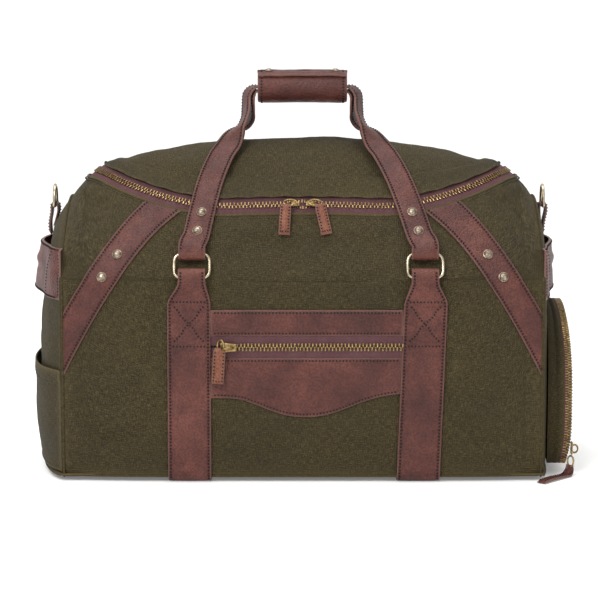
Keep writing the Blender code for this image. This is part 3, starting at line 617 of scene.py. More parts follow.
def wall_canvas(back):
    """Front or back panel: one sheet from the base to the zip or hinge, eased by simulation."""
    across = -0.0108
    arm = zip_edge(across)[90][0]
    xs = mirrored(np.concatenate([np.linspace(0.0, 0.200, 54), np.linspace(0.2035, arm - 0.0006, 12),
                                  np.linspace(arm + 0.0006, FRONT_HALF + 0.0008, 6)]))
    points = []
    for x in xs:
        if abs(x) > arm:
            top = 0.999
        elif back:
            top = v_at_depth(x, rear_edge_y(x, across, 0.0014, (0.2010, 0.0765)))
        else:
            top = v_at_depth(x, front_edge_y(x, across))
        points.append([wall_point(x, min(v, 0.999)) for v in np.linspace(0.0, top, 84)])
    points = np.array(points)
    if back:
        points[..., 1] *= -1
    normals = grid_normals(points, (0.0, 0.0, 0.12))
    edge = rim_distance(points)
    cover = np.array([[cover_free(p[0], p[2]) for p in row] for row in points])
    free = smoothstep(edge, 0.004, 0.030) * cover
    points = settled(points, free)
    seed = 2 if back else 1
    puff = 0.0016 * folds(points, 14.0, seed) + 0.0011 * folds(points, 34.0, seed + 4)
    pucker = 0.0006 * np.sin(lengths(points[:, 40])[:, None] * 330.0) * np.exp(-edge / 0.010)
    low = smoothstep(0.075 - points[..., 2], 0.0, 0.06)
    sag = 0.0022 * low * np.sin(points[..., 0] * 31.0 + 1.3) ** 2
    points = points + normals * ((puff + sag) * free + pucker * smoothstep(edge, 0.0, 0.004))[..., None]
    wear = np.exp(-edge / 0.0035) + 0.25 * smoothstep(puff, 0.0008, 0.0022)
    name = "back_canvas" if back else "front_canvas"
    piece = sheet_piece(name, points, grid_normals(points, (0.0, 0.0, 0.12)), CANVAS_THICK, wear)
    settle_piece(piece, CANVAS, "bag", ["back_panel" if back else "front_panel"])


def end_canvas(side):
    """End panel, its edges turned into the corner seams."""
    reach = half_depth(FRONT_HALF) + 0.0012
    rows = []
    for turn in np.linspace(-pi / 2, pi / 2, 64):
        y = reach * sin(turn)
        depth = min(abs(y), half_depth(FRONT_HALF) - 0.0002)
        top = wall_point(FRONT_HALF, v_at_depth(FRONT_HALF, depth)).z + 0.0004
        rows.append([end_skin(side, y, z) for z in np.linspace(FOOT - 0.002, max(top, WALL_TOP), 60)])
    points = np.array(rows)
    outward = np.zeros_like(points)
    outward[..., 0] = side
    edge = rim_distance(points)
    free = smoothstep(edge, 0.004, 0.03)
    if side < 0:
        pocket = smoothstep(points[..., 2], 0.112, 0.130)
    else:
        pocket = smoothstep(np.hypot(points[..., 1] / 0.108, (points[..., 2] - 0.04) / 0.140), 1.0, 1.2)
    grip = smoothstep(np.abs(points[..., 2] - 0.209), 0.026, 0.040)
    tab = np.maximum(smoothstep(np.abs(points[..., 1]), 0.012, 0.024),
                     smoothstep(0.235 - points[..., 2], 0.0, 0.01))
    free = free * pocket * grip * tab
    puff = 0.0013 * folds(points, 17.0, 8 + side) + 0.0009 * folds(points, 42.0, 5 + side)
    points = points + outward * (puff * free)[..., None]
    wear = 0.8 * np.exp(-np.abs(edge - 0.004) / 0.003)
    name = f"end_canvas_{WORD[side]}"
    piece = sheet_piece(name, points, grid_normals(points, (0.0, 0.0, 0.12)), CANVAS_THICK, wear)
    settle_piece(piece, CANVAS, "bag", [f"end_panel_{WORD[side]}"])


def base_canvas():
    """Flat base panel, its long sides straight and its ends following the end panels."""
    points = []
    for share in np.linspace(-1.0, 1.0, 70):
        row = []
        for y in np.linspace(-0.1345, 0.1345, 40):
            side = -1 if share < 0 else 1
            reach = end_surface(side, y, 0.01).x * side - 0.0006
            row.append((side * abs(share) * reach, y, 0.0030))
        points.append(row)
    points = np.array(points)
    edge = rim_distance(points)
    points[..., 2] += 0.0024 * np.exp(-edge / 0.0035) + 0.0004 * folds(points, 30.0, 3)
    down = np.zeros_like(points)
    down[..., 2] = -1.0
    piece = sheet_piece("base_canvas", points, down, CANVAS_THICK, np.exp(-edge / 0.004))
    settle_piece(piece, CANVAS, "bag", ["base_panel"])


LID_OVERLAP = 0.0098


def lid_canvas():
    """Lid panel: a curved sheet over the crest, its front and sides folded, over the zip tape."""
    arm = zip_edge(LID_OVERLAP)[90][0]
    xs = mirrored(np.concatenate([np.linspace(0.0, 0.188, 50), np.linspace(0.1912, arm - 0.0004, 12)]))
    points = []
    for x in xs:
        front = front_edge_y(x, LID_OVERLAP)
        rear = rear_edge_y(x, LID_OVERLAP, -0.0014, (0.1985, 0.0745))
        points.append([top_point(x, y) for y in np.linspace(front, max(rear, front + 0.004), 66)])
    points = np.array(points)
    normals = grid_normals(points, (0.0, 0.0, 0.15))
    edge = rim_distance(points)
    free = smoothstep(edge, 0.006, 0.040)
    points = settled(points, free, 0.010, 0.0035)
    bulk = 0.0022 * folds(points, 11.0, 12) + 0.0013 * folds(points, 27.0, 13)
    dip = -0.0040 * np.exp(-(np.abs(np.abs(points[..., 0] - 0.004) - 0.072) / 0.022) ** 2) * smoothstep(
        -points[..., 1], 0.0, 0.05)
    lip = 0.0021 * np.exp(-edge / 0.004) + 0.0008 * np.exp(-edge / 0.012) * np.sin(points[..., 0] * 260.0)
    calm = smoothstep(arm - np.abs(points[..., 0]), 0.0, 0.008)
    points = points + normals * (((bulk + dip) * free + lip) * calm + 0.0008)[..., None]
    wear = 0.25 * np.exp(-edge / 0.0022) + 0.25 * smoothstep(bulk, 0.001, 0.003)
    piece = sheet_piece("lid_canvas", points, grid_normals(points, (0.0, 0.0, 0.15)), CANVAS_THICK, wear, 0.6)
    settle_piece(piece, CANVAS, "lid", ["lid_panel"])
    inner = points[3:-3, 3:-3] - normals[3:-3, 3:-3] * (CANVAS_THICK + 0.0022)
    lining = sheet_piece("lid_lining", inner, grid_normals(inner, (0.0, 0.0, 0.15)), 0.0005)
    settle_piece(lining, COTTON, "lid")


def hinge_fold():
    """Canvas that carries on from the back panel into the lid over the hinge line."""
    points = []
    for x in np.linspace(-0.1955, 0.1955, 90):
        row = []
        middle = rear_edge_y(x, 0.0, 0.0, (0.1998, 0.0755))
        for y in np.linspace(middle + 0.010, middle - 0.010, 12):
            at = top_point(x, y)
            lift = 0.0013 * exp(-((y - middle) / 0.006) ** 2) + 0.0012
            row.append(at + top_normal(x, y) * lift)
        points.append(row)
    points = np.array(points)
    points += grid_normals(points, (0.0, 0.0, 0.15)) * (0.0004 * folds(points, 60.0, 21))[..., None]
    piece = sheet_piece("hinge_fold", points, grid_normals(points, (0.0, 0.0, 0.15)), 0.0016)
    piece.data.materials.append(CANVAS)
    top = top_point(0.0, HINGE_Y).z
    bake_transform(piece)


def inner_lining():
    """Cotton lining, hung inside the walls from the zip's edge to the floor of the bag, gathered a little."""
    for back in (False, True):
        points = []
        for x in np.linspace(-0.2335, 0.2335, 90):
            if back:
                top = v_at_depth(x, rear_edge_y(min(abs(x), 0.222), -0.0108, 0.004, (0.2010, 0.0765)))
            else:
                top = v_at_depth(x, front_edge_y(min(abs(x), 0.222), -0.0108))
            row = []
            for v in np.linspace(0.015, top, 60):
                at = wall_point(x, v)
                inset = 0.0095 + 0.0035 * float(smoothstep(0.215 - at.z, 0.0, 0.05))
                if at.z < WALL_TOP:
                    normal = Vector((0, -1, 0))
                else:
                    normal = normal_at(wall_point, x, min(v, 0.99), (x, 0, 0.1))
                row.append(at - normal * inset)
            points.append(row)
        points = np.array(points)
        if back:
            points[..., 1] *= -1
        edge = rim_distance(points)
        normals = grid_normals(points, (0.0, 0.0, 0.12))
        waves = np.sin(points[..., 0] * 95.0 + 2.0 * folds(points, 9.0, 30))
        gather = 0.0016 * waves * smoothstep(edge, 0.0, 0.03)
        points -= normals * (np.abs(gather))[..., None]
        name = "lining_back" if back else "lining_front"
        piece = sheet_piece(name, points, grid_normals(points, (0.0, 0.0, 0.12)), 0.0006)
        settle_piece(piece, COTTON, "bag", ["lining"])
    for side in (-1, 1):
        points = []
        for y in np.linspace(-0.1255, 0.1255, 50):
            limit = wall_point(FRONT_HALF, v_at_depth(FRONT_HALF, min(abs(y) + 0.008, 0.131))).z - 0.008
            points.append([(side * 0.2355, y, z) for z in np.linspace(0.0105, max(0.2, limit), 44)])
        points = np.array(points)
        points[..., 0] -= side * 0.0012 * (1 + np.sin(points[..., 1] * 120.0))
        outward = np.zeros_like(points)
        outward[..., 0] = side
        settle_piece(sheet_piece(f"lining_end_{WORD[side]}", points, outward, 0.0006), COTTON, "bag")
    points = np.array([[(x, y, 0.0105 + 0.0006 * sin(50 * x) * sin(44 * y))
                        for y in np.linspace(-0.1262, 0.1262, 40)]
                       for x in np.linspace(-0.2345, 0.2345, 70)])
    up = np.zeros_like(points)
    up[..., 2] = 1.0
    settle_piece(sheet_piece("lining_floor", points, up, 0.0006), COTTON, "bag")


# Leather

def leather_ring(width, thick, crown=0.0003, groove=0.00035, edge=STITCH_EDGE):
    """Cross-section of a strap as (across, height, edge paint): rounded edges, grooves and a slight crown."""
    half = width / 2
    side = [(-half + 0.10 * thick, 0.0, 1.0), (-half, 0.30 * thick, 1.0), (-half, 0.62 * thick, 1.0),
            (-half + 0.22 * thick, 0.90 * thick, 0.75), (-half + 0.55 * thick, thick, 0.15)]
    side += [(-half + edge - 0.0008, thick, 0.0), (-half + edge, thick - groove, 0.0),
             (-half + edge + 0.0008, thick, 0.0)]
    inner = half - edge - 0.0008
    top = [(a * inner, thick + crown * (1 - a * a), 0.0) for a in (-0.6, -0.2, 0.2, 0.6)]
    return side + top + [(-a, h, e) for a, h, e in reversed(side)]


def strip_piece(name, places, widths, thick, fold=None, crown=0.0003, groove=0.00035):
    """A strap as rings of its cross-section. places(i, across) gives a surface point and its normal there."""
    corners, uvs, edges = [], [], []
    count = len(widths)
    run = 0.0
    before = None
    for i, width in enumerate(widths):
        centre = np.array(places(i, 0.0)[0])
        run += 0.0 if before is None else float(np.linalg.norm(centre - before))
        before = centre
        end = 0.15 + 0.85 * min(1.0, min(i, count - 1 - i) / 2.0)
        for across, height, paint in leather_ring(width, thick, crown, groove):
            at, normal = places(i, across)
            corners.append(Vector(at) + Vector(normal) * (height * (end if height > 0.5 * thick else 1.0)))
            uvs.append((across, run))
            edges.append(max(paint, 1.0 - min(1.0, min(i, count - 1 - i) / 1.0)) * 0.8)
    size = len(leather_ring(0.03, thick))
    faces = [(i * size + k, i * size + (k + 1) % size, (i + 1) * size + (k + 1) % size, (i + 1) * size + k)
             for i in range(count - 1) for k in range(size)]
    faces += [tuple(range(size)), tuple((count - 1) * size + k for k in range(size))]
    folded = np.repeat(np.zeros(count) if fold is None else fold, size)
    return new_piece(name, corners, faces, uvs, {"edge": edges, "fold": folded})


def resampled(path, normals, step):
    """Path points and normals at even steps along the path."""
    path, normals = np.array([tuple(p) for p in path]), np.array([tuple(n) for n in normals])
    run = lengths(path)
    count = max(2, int(round(run[-1] / step)) + 1)
    at = np.linspace(0.0, run[-1], count)
    made = np.stack([np.interp(at, run, path[:, k]) for k in range(3)], axis=1)
    facing = np.stack([np.interp(at, run, normals[:, k]) for k in range(3)], axis=1)
    return made, facing / np.linalg.norm(facing, axis=1, keepdims=True)


def path_places(path, normals, lift=0.0):
    """places() for a strap that follows a path of its own, with its sides square to path and normal."""
    ahead = np.gradient(path, axis=0)
    ahead /= np.linalg.norm(ahead, axis=1, keepdims=True)
    sides = np.cross(ahead, normals)
    sides /= np.linalg.norm(sides, axis=1, keepdims=True)
    facing = np.cross(sides, ahead)

    def places(i, across):
        return path[i] + sides[i] * across + facing[i] * lift, facing[i]
    return places


STITCH = {}


def template(make):
    """Corners and faces of a small shape modelled once, to be copied many times."""
    if make.__name__ not in STITCH:
        shape = make()
        corners = np.array([v.co for v in shape.data.vertices], float)
        faces = [tuple(f.vertices) for f in shape.data.polygons]
        STITCH[make.__name__] = (corners, faces)
        bpy.data.objects.remove(shape)
    return STITCH[make.__name__]


def primitive(add, **settings):
    """A new primitive, alone in the selection and active."""
    bpy.ops.object.select_all(action="DESELECT")
    add(**settings)
    return bpy.context.active_object


def choose(shape, test):
    """Selects the faces that pass a test of their centre and normal, in edit mode."""
    bpy.ops.object.mode_set(mode="EDIT")
    bpy.ops.mesh.select_mode(type="FACE")
    bpy.ops.mesh.select_all(action="DESELECT")
    cage = bmesh.from_edit_mesh(shape.data)
    for face in cage.faces:
        face.select_set(bool(test(face.calc_center_median(), face.normal)))
    bmesh.update_edit_mesh(shape.data)


def done():
    """Back to object mode, with size, turn and place put into the mesh."""
    bpy.ops.object.mode_set(mode="OBJECT")
    bpy.ops.object.transform_apply(location=True, rotation=True, scale=True)
    return bpy.context.active_object


def stitch_shape():
    shape = primitive(bpy.ops.mesh.primitive_uv_sphere_add, segments=6, ring_count=4, radius=0.5)
    shape.scale = (0.0019, 0.00235, 0.0016)
    return done()


def tooth_shape():
    """One zip tooth lying along Y: jaws over the tape at its root, a waist, and a nib at the chain's middle."""
    shape = primitive(bpy.ops.mesh.primitive_cube_add, size=1.0)
    shape.scale = (0.0017, 0.0030, 0.0024)
    done()
    choose(shape, lambda c, n: n.y > 0.9)
    bpy.ops.transform.resize(value=(0.78, 1.0, 0.74))
    bpy.ops.mesh.extrude_region_move(TRANSFORM_OT_translate={"value": (0, 0.0010, 0)})
    bpy.ops.transform.resize(value=(1.25, 1.0, 0.95))
    bpy.ops.mesh.extrude_region_move(TRANSFORM_OT_translate={"value": (0, 0.0007, 0)})
    bpy.ops.transform.resize(value=(0.55, 1.0, 0.60))
    bpy.ops.mesh.select_all(action="SELECT")
    bpy.ops.transform.translate(value=(0, -0.0018, 0))
    return done()


def scattered(name, make, places, size=1.0):
    """Copies of a template at (point, along, up) places, as one mesh."""
    corners, faces = template(make)
    points, polygons = [], []
    for at, along, up in places:
        x = Vector(along).normalized()
        z = (Vector(up) - x * Vector(up).dot(x)).normalized()
        turn = np.array([x, z.cross(x), z]).T
        base = len(points) * len(corners)
        points.append((corners * size) @ turn.T + np.array(at))
        polygons += [tuple(base + i for i in face) for face in faces]
    mesh = bpy.data.meshes.new(name)
    mesh.from_pydata([tuple(p) for p in np.vstack(points)], [], polygons)
    mesh.shade_smooth()
    mesh.set_sharp_from_angle(angle=radians(40))
    piece = bpy.data.objects.new(name, mesh)
    bpy.context.scene.collection.objects.link(piece)
    return piece


def stitches(path, normals, lift=0.0, pitch=STITCH_PITCH):
    """Places for a row of stitches along a path."""
    points, facing = resampled(path, normals, pitch)
    ahead = np.gradient(points, axis=0)
    return [(p + n * lift, a, n) for p, a, n in zip(points, ahead, facing)][1:-1]


def strip_rows(places, widths, thick, first=0, last=None, edge=STITCH_EDGE):
    """Two rows of stitches in the grooves of a strip."""
    last = len(widths) if last is None else last
    found = []
    for way in (-1, 1):
        path, facing = [], []
        for i in range(first, last):
            at, normal = places(i, way * (widths[i] / 2 - edge))
            path.append(np.array(at) + np.array(normal) * (thick + 0.00022))
            facing.append(np.array(normal))
        found += stitches(path, facing)
    return found


def cross_row(places, i, width, thick):
    """A row of stitches straight across a strip."""
    path, facing = [], []
    for across in np.linspace(-width / 2 + STITCH_EDGE, width / 2 - STITCH_EDGE, 12):
        at, normal = places(i, across)
        path.append(np.array(at) + np.array(normal) * (thick + 0.0001))
        facing.append(np.array(normal))
    return stitches(path, facing)


def smooth_path(points, steps):
    ends = [points[0] * 2 - points[1], *points, points[-1] * 2 - points[-2]]
    made = []
    for a, b, c, d in zip(ends, ends[1:], ends[2:], ends[3:]):
        for i in range(steps):
            t = i / steps
            made.append(0.5 * (2 * b + (c - a) * t + (2 * a - 5 * b + 4 * c - d) * t * t
                               + (3 * b - a - 3 * c + d) * t ** 3))
    made.append(points[-1])
    return made


def arc(centre, radius, start, end, count):
    return [(centre[0] + radius * cos(radians(a)), centre[1] + radius * sin(radians(a)))
            for a in np.linspace(start, end, count)]


def band_path():
    """Side view of a band, from its front loop under the base to its back loop, as (y, z)."""
    plane, low = DEPTH_HALF + 0.0013, 0.0003
    half = [(-DEPTH_HALF - 0.0011, 0.192), (-DEPTH_HALF - 0.0011, 0.2115)]
    half += arc((-BAR_Y, 0.2125), 0.0036, 0, 180, 9)
    half += [(-BAR_Y - 0.0034, 0.2050), (-plane - 0.0022, 0.194), (-plane - 0.0006, 0.184), (-plane, 0.170),
             (-plane, 0.110), (-plane, 0.050), (-plane, 0.0150)]
    half += arc((-plane + 0.010, 0.0125), 0.0103, 190, 262, 7)
    half += [(-0.110, low + 0.0018), (-0.06, low + 0.0018)]
    return [Vector((0, y, z)) for y, z in half] + [Vector((0, -y, z)) for y, z in reversed(half)]


def band(side):
    """Leather band with its ring loops, a sewn cross box under each loop and stitched edges."""
    path = smooth_path(band_path(), 4)
    ahead = np.gradient(np.array([tuple(p) for p in path]), axis=0)
    normals = np.stack([ahead[:, 0], -ahead[:, 2], ahead[:, 1]], axis=1)
    normals /= np.linalg.norm(normals, axis=1, keepdims=True)
    points, facing = resampled(path, -normals if normals[len(normals) // 2][2] > 0 else normals, 0.0030)
    heights = points[:, 2]
    narrow = smoothstep(heights, 0.180, 0.206)
    widths = BAND_WIDTH - (BAND_WIDTH - BAND_TOP_WIDTH) * narrow
    centres = BAND_X[side] + BAND_LEAN[side] * heights
    points[:, 0] = centres + (RING_X[side] - centres) * narrow
    across = np.array([1.0, 0.0, 0.0])
    wave = 0.0007 * np.sin(heights * 70.0 + side) * smoothstep(heights, 0.02, 0.06) * (1 - narrow)
    points = points + facing * wave[:, None]

    def places(i, a):
        return points[i] + across * a, facing[i]

    thick = 0.0021
    fold = 0.75 * np.exp(-((heights - 0.2150) / 0.0045) ** 2)
    piece = strip_piece(f"leather_band_{WORD[side]}", places, widths, thick, fold)
    settle_piece(piece, HIDE, "bag", [f"band_{WORD[side]}"])
    found = strip_rows(places, widths, thick, 10, len(widths) - 10)
    for back in (False, True):
        def row_of(height):
            rows = range(len(widths) // 2, len(widths)) if back else range(len(widths) // 2)
            outer = [i for i in rows if abs(points[i][1]) > DEPTH_HALF and i > 14 and i < len(widths) - 15]
            return min(outer, key=lambda i: abs(heights[i] - height))
        low, high = row_of(0.1375), row_of(0.1825)
        for i in (low, high):
            found += cross_row(places, i, BAND_WIDTH, thick)
        for way in (-1, 1):
            path, normals_here = [], []
            for share in np.linspace(0.06, 0.94, 12):
                i = int(round(low + (high - low) * share))
                at, normal = places(i, way * (share * 2 - 1) * (BAND_WIDTH / 2 - STITCH_EDGE))
                path.append(at + normal * (thick + 0.0002))
                normals_here.append(normal)
            found += stitches(path, normals_here)
    found = [place for place in found if place[0][2] > 0.003]
    settle_piece(scattered(f"band_stitches_{WORD[side]}", stitch_shape, found), THREAD, "bag")


def corner_strap(side, back=False):
    """Curved strap that guards an upper corner, from the zip to the end seam."""
    rows = []
    knots = np.linspace(-CORNER_HALF, CORNER_HALF, 7)
    for across in knots:
        def reach(u):
            at, sideways = corner_centre(u)
            return (at + sideways * across).x
        def short_of_zip(u):
            at, sideways = corner_centre(u)
            flat = at + sideways * across
            point, _ = front_skin(flat.x, flat.y)
            return front_edge_y(flat.x, -0.0112) - point.y
        end = solve(reach, FRONT_HALF - 0.0004, 0.0, 1.0)
        row = []
        start = 0.20 if back else solve(short_of_zip, 0.0, -0.30, 0.30)
        for u in np.linspace(start, end, 64):
            at, sideways = corner_centre(u)
            flat = at + sideways * across
            at, normal = front_skin(side * flat.x, flat.y, back)
            row.append((*at, *normal))
        rows.append(row)
    table = np.array(rows)

    def places(i, a):
        value = [np.interp(a, knots, table[:, i, k]) for k in range(6)]
        at, normal = np.array(value[:3]), np.array(value[3:])
        return at + normal * 0.0004, normal / np.linalg.norm(normal)

    widths = np.full(64, 2 * CORNER_HALF)
    name = f"{'back_' if back else ''}corner_strap_{WORD[side]}_leather"
    piece = strip_piece(name, places, widths, HIDE_THICK)
    settle_piece(piece, HIDE, "bag", [] if back else [f"corner_strap_{WORD[side]}"])
    found = strip_rows(places, widths, HIDE_THICK)
    settle_piece(scattered(name.replace("leather", "stitches"), stitch_shape, found), THREAD, "bag")
    for u, place in ((0.375, "upper"), (0.505, "lower")):
        at, _ = corner_centre(u)
        at, normal = front_skin(side * at.x, at.y, back)
        nodes = [] if back else [f"corner_rivet_{WORD[side]}_{place}"]
        cap = f"{'back_' if back else ''}corner_cap_{WORD[side]}_{place}"
        rivet(cap, at + normal * (HIDE_THICK + 0.0004), normal, "bag", nodes)


# Rivets and snaps

def rivet_shape():
    """Domed cap on a thin rolled flange, 10 mm across."""
    shape = primitive(bpy.ops.mesh.primitive_cylinder_add, vertices=32, radius=0.0050, depth=0.0010,
                      location=(0, 0, 0.0005))
    done()
    choose(shape, lambda c, n: n.z > 0.9)
    for inset, rise in ((0.0006, 0.0003), (0.0005, -0.0004), (0.0004, 0.0009), (0.0009, 0.0007),
                        (0.0011, 0.0004), (0.0009, 0.0001)):
        bpy.ops.mesh.inset(thickness=inset)
        bpy.ops.transform.translate(value=(0, 0, rise))
    done()
    return shape


def rivet(name, at, normal, body, nodes, size=1.0):
    normal = Vector(normal)
    piece = scattered(name, rivet_shape, [(at, normal.orthogonal(), normal)], size)
    return settle_piece(piece, NICKEL, body, nodes)


# Front pocket

def flat_leather(name, left, right, bottom, top, nodes, lift=0.0004, thick=HIDE_THICK, columns=90, rows=22):
    """Flat leather panel on the front wall, with its lower edge free to curve, and its two sewn rows."""
    grid = []
    for share in np.linspace(0.0, 1.0, columns):
        row = []
        for rise in np.linspace(0.0, 1.0, rows):
            x_mid = left + (right(top(0.0)) - left) * share
            z = bottom(x_mid) + (top(x_mid) - bottom(x_mid)) * rise
            row.append((left + (right(z) - left) * share, -DEPTH_HALF - lift - thick, z))
        grid.append(row)
    points = np.array(grid)
    outward = np.zeros_like(points)
    outward[..., 1] = -1.0
    edge = rim_distance(points)
    groove = 0.0004 * np.exp(-((edge - STITCH_EDGE) / 0.0007) ** 2)
    roll = 0.0007 * np.exp(-edge / 0.0006)
    swell = 0.0005 * folds(points, 26.0, 40) * smoothstep(edge, 0.003, 0.015)
    points += outward * (swell - groove - roll)[..., None]
    piece = sheet_piece(name, points, outward, thick, roll=0.15)
    paint = np.exp(-edge / 0.0006) * 0.8
    rim = [paint[r, c] for r, c in rim_of(*paint.shape)]
    values = np.concatenate([paint.ravel(), paint.ravel(), np.maximum(rim, 0.8)])
    layer = piece.data.attributes.new("edge", "FLOAT", "POINT")
    layer.data.foreach_set("value", values.astype(np.float32))
    settle_piece(piece, HIDE, "bag", nodes)
    found = []
    front = Vector((0, -1, 0))
    for line in (lambda x: bottom(x) + STITCH_EDGE, lambda x: top(x) - STITCH_EDGE):
        path = [(x, -DEPTH_HALF - lift - thick + 0.0003, line(x)) for x in
                np.linspace(left + 0.001, right(line(0.0)) - 0.001, 80)]
        found += stitches(path, [front] * len(path))
    settle_piece(scattered(name + "_stitches", stitch_shape, found), THREAD, "bag")


POCKET_LEFT = -0.0922


def pocket_right(z):
    return 0.0949 + BAND_LEAN[1] * z


def ogee(x):
    return 0.0915 - 0.0245 * exp(-abs((x - 0.004) / 0.058) ** 2.3) - 0.004 * max(0.0, -(x + 0.06) / 0.03)


def pocket_tape(name, low, high, lift, nodes=()):
    """One side of the front pocket's zip tape."""
    points = np.array([[(x, -DEPTH_HALF - lift + 0.0002 * sin(x * 300.0), z)
                        for z in np.linspace(low, high, 8)]
                       for x in np.linspace(POCKET_LEFT, pocket_right(0.138), 80)])
    outward = np.zeros_like(points)
    outward[..., 1] = -1.0
    settle_piece(sheet_piece(name, points, outward, 0.0007), TAPE, "bag", nodes)


def front_pocket():
    flat_leather("pocket_welt_leather", POCKET_LEFT, pocket_right, lambda x: 0.1493, lambda x: 0.1752,
                 ["pocket_welt"])
    flat_leather("pocket_facing_leather", POCKET_LEFT, pocket_right, ogee, lambda x: 0.1268,
                 ["pocket_facing"],
                 columns=110, rows=44)
    pocket_tape("pocket_tape_lower", 0.1255, 0.1366, 0.0011, ["pocket_zip_tape"])
    pocket_tape("pocket_tape_upper", 0.1396, 0.1505, 0.0011)
    x = POCKET_LEFT + 0.018
    places = []
    while x < pocket_right(0.138) - 0.001:
        for way, shift in ((1, 0.0), (-1, TOOTH_PITCH / 2)):
            at = (x + shift, -DEPTH_HALF - 0.0019, 0.1380 - way * 0.0009)
            places.append((at, (way, 0, 0), (0, -1, 0)))
        x += TOOTH_PITCH
    settle_piece(scattered("pocket_teeth", tooth_shape, places, 0.88), BRASS, "bag", ["pocket_zip_chain"])
    pouch = np.array([[(x, -0.1300 + 0.0016 * sin(x * 60.0) * sin(z * 50.0), z)
                       for z in np.linspace(0.060, 0.150, 20)]
                      for x in np.linspace(-0.088, 0.092, 40)])
    inward = np.zeros_like(pouch)
    inward[..., 1] = 1.0
    settle_piece(sheet_piece("pocket_pouch_cotton", pouch, inward, 0.0040), COTTON, "bag", ["pocket_pouch"])


# Zip teeth and tapes of the lid

def main_tape(name, low, high, body, node, end=0.955):
    rows = []
    for s in np.linspace(-end, end, 200):
        at, inward, normal = zip_frame(s)
        rows.append([at + inward * a + normal * (-0.0006 - a * a / (2 * DEPTH_HALF))
                     for a in np.linspace(low, high, 8)])
    points = np.array(rows)
    points += grid_normals(points, (0, 0, 0.15)) * (0.0003 * folds(points, 45.0, 17))[..., None]
    piece = sheet_piece(name, points, grid_normals(points, (0, 0, 0.15)), 0.0008)
    settle_piece(piece, TAPE, body, [node])


def main_teeth():
    """Two rows of teeth along the lid's zip. They mesh, and spread apart between the two sliders."""
    fine = np.linspace(-0.90, 0.90, 700)
    frames = [zip_frame(s) for s in fine]
    run = lengths(np.array([tuple(f[0]) for f in frames]))
    middle = run[len(run) // 2]
    rows = {"body": [], "lid": []}
    for word, way, shift in (("body", 1, 0.0), ("lid", -1, 0.5)):
        for k in range(-int(middle / TOOTH_PITCH), int(middle / TOOTH_PITCH) + 1):
            place = middle + (k + shift) * TOOTH_PITCH
            if not 0.0 < place < run[-1]:
                continue
            i = int(np.searchsorted(run, place))
            at, inward, normal = frames[min(i, len(frames) - 1)]
            offset = run[min(i, len(frames) - 1)] - middle
            part = 0.0021 * max(0.0, 1 - (offset / 0.0085) ** 2)
            along = inward.cross(normal)
            tip = inward * way
            fan = tip + along * (0.55 * offset / 0.0085 * (1 if part > 0 else 0))
            root = at + inward * (-way * (0.0009 + part)) + normal * 0.0004
            rows[word].append((root, fan.cross(normal), normal))
    for word, body in (("body", "bag"), ("lid", "lid")):
        piece = scattered(f"{word}_zip_teeth", tooth_shape, rows[word], 0.72)
        settle_piece(piece, BRASS, body, [f"{word}_zip_chain"])


def zip_welt():
    """Rolled canvas fold along the outer edge of the lid's zip, with its row of stitches on the panel."""
    rows = []
    stitch_path, stitch_normals = [], []
    for s in np.linspace(-0.985, 0.985, 260):
        at, inward, normal = zip_frame(s)
        centre = at + inward * -0.0112 + normal * 0.0002
        rows.append([centre + inward * (0.0015 * cos(a)) + normal * (0.0013 * sin(a))
                     for a in np.linspace(0, 2 * pi, 9)[:-1]])
        stitch_path.append(at + inward * -0.0150 + normal * 0.0003)
        stitch_normals.append(normal)
    size = 8
    corners = [p for row in rows for p in row]
    faces = [(i * size + k, i * size + (k + 1) % size, (i + 1) * size + (k + 1) % size, (i + 1) * size + k)
             for i in range(len(rows) - 1) for k in range(size)]
    faces += [tuple(range(size)), tuple((len(rows) - 1) * size + k for k in range(size))]
    uvs = [(0.0015 * k, 0.004 * i) for i in range(len(rows)) for k in range(size)]
    piece = new_piece("zip_fold", corners, faces, uvs, {"wear": np.full(len(corners), 1.0)})
    settle_piece(piece, CANVAS, "bag")
    found = stitches(stitch_path, stitch_normals)
    settle_piece(scattered("zip_fold_stitches", stitch_shape, found, 0.85), OLIVE_THREAD, "bag")


def seam_cord(name, path, radius, body, wear=0.5):
    """A turned seam: a slim canvas roll along an edge of the shell."""
    path, _ = resampled(path, [(0, 0, 1)] * len(path), 0.004)
    ahead = np.gradient(path, axis=0)
    ahead /= np.linalg.norm(ahead, axis=1, keepdims=True)
    size = 8
    corners, uvs = [], []
    for i, (at, way) in enumerate(zip(path, ahead)):
        if i == 0:
            across = Vector(way).orthogonal().normalized()
        else:
            across = (across - Vector(way) * across.dot(Vector(way))).normalized()
        up = Vector(way).cross(across)
        for k in range(size):
            turn = 2 * pi * k / size
            corners.append(Vector(at) + (across * cos(turn) + up * sin(turn)) * radius)
            uvs.append((radius * turn, 0.004 * i))
    faces = [(i * size + k, i * size + (k + 1) % size, (i + 1) * size + (k + 1) % size, (i + 1) * size + k)
             for i in range(len(path) - 1) for k in range(size)]
    faces += [tuple(range(size)), tuple((len(path) - 1) * size + k for k in range(size))]
    piece = new_piece(name, corners, faces, uvs, {"wear": np.full(len(corners), wear)})
    return settle_piece(piece, CANVAS, body)


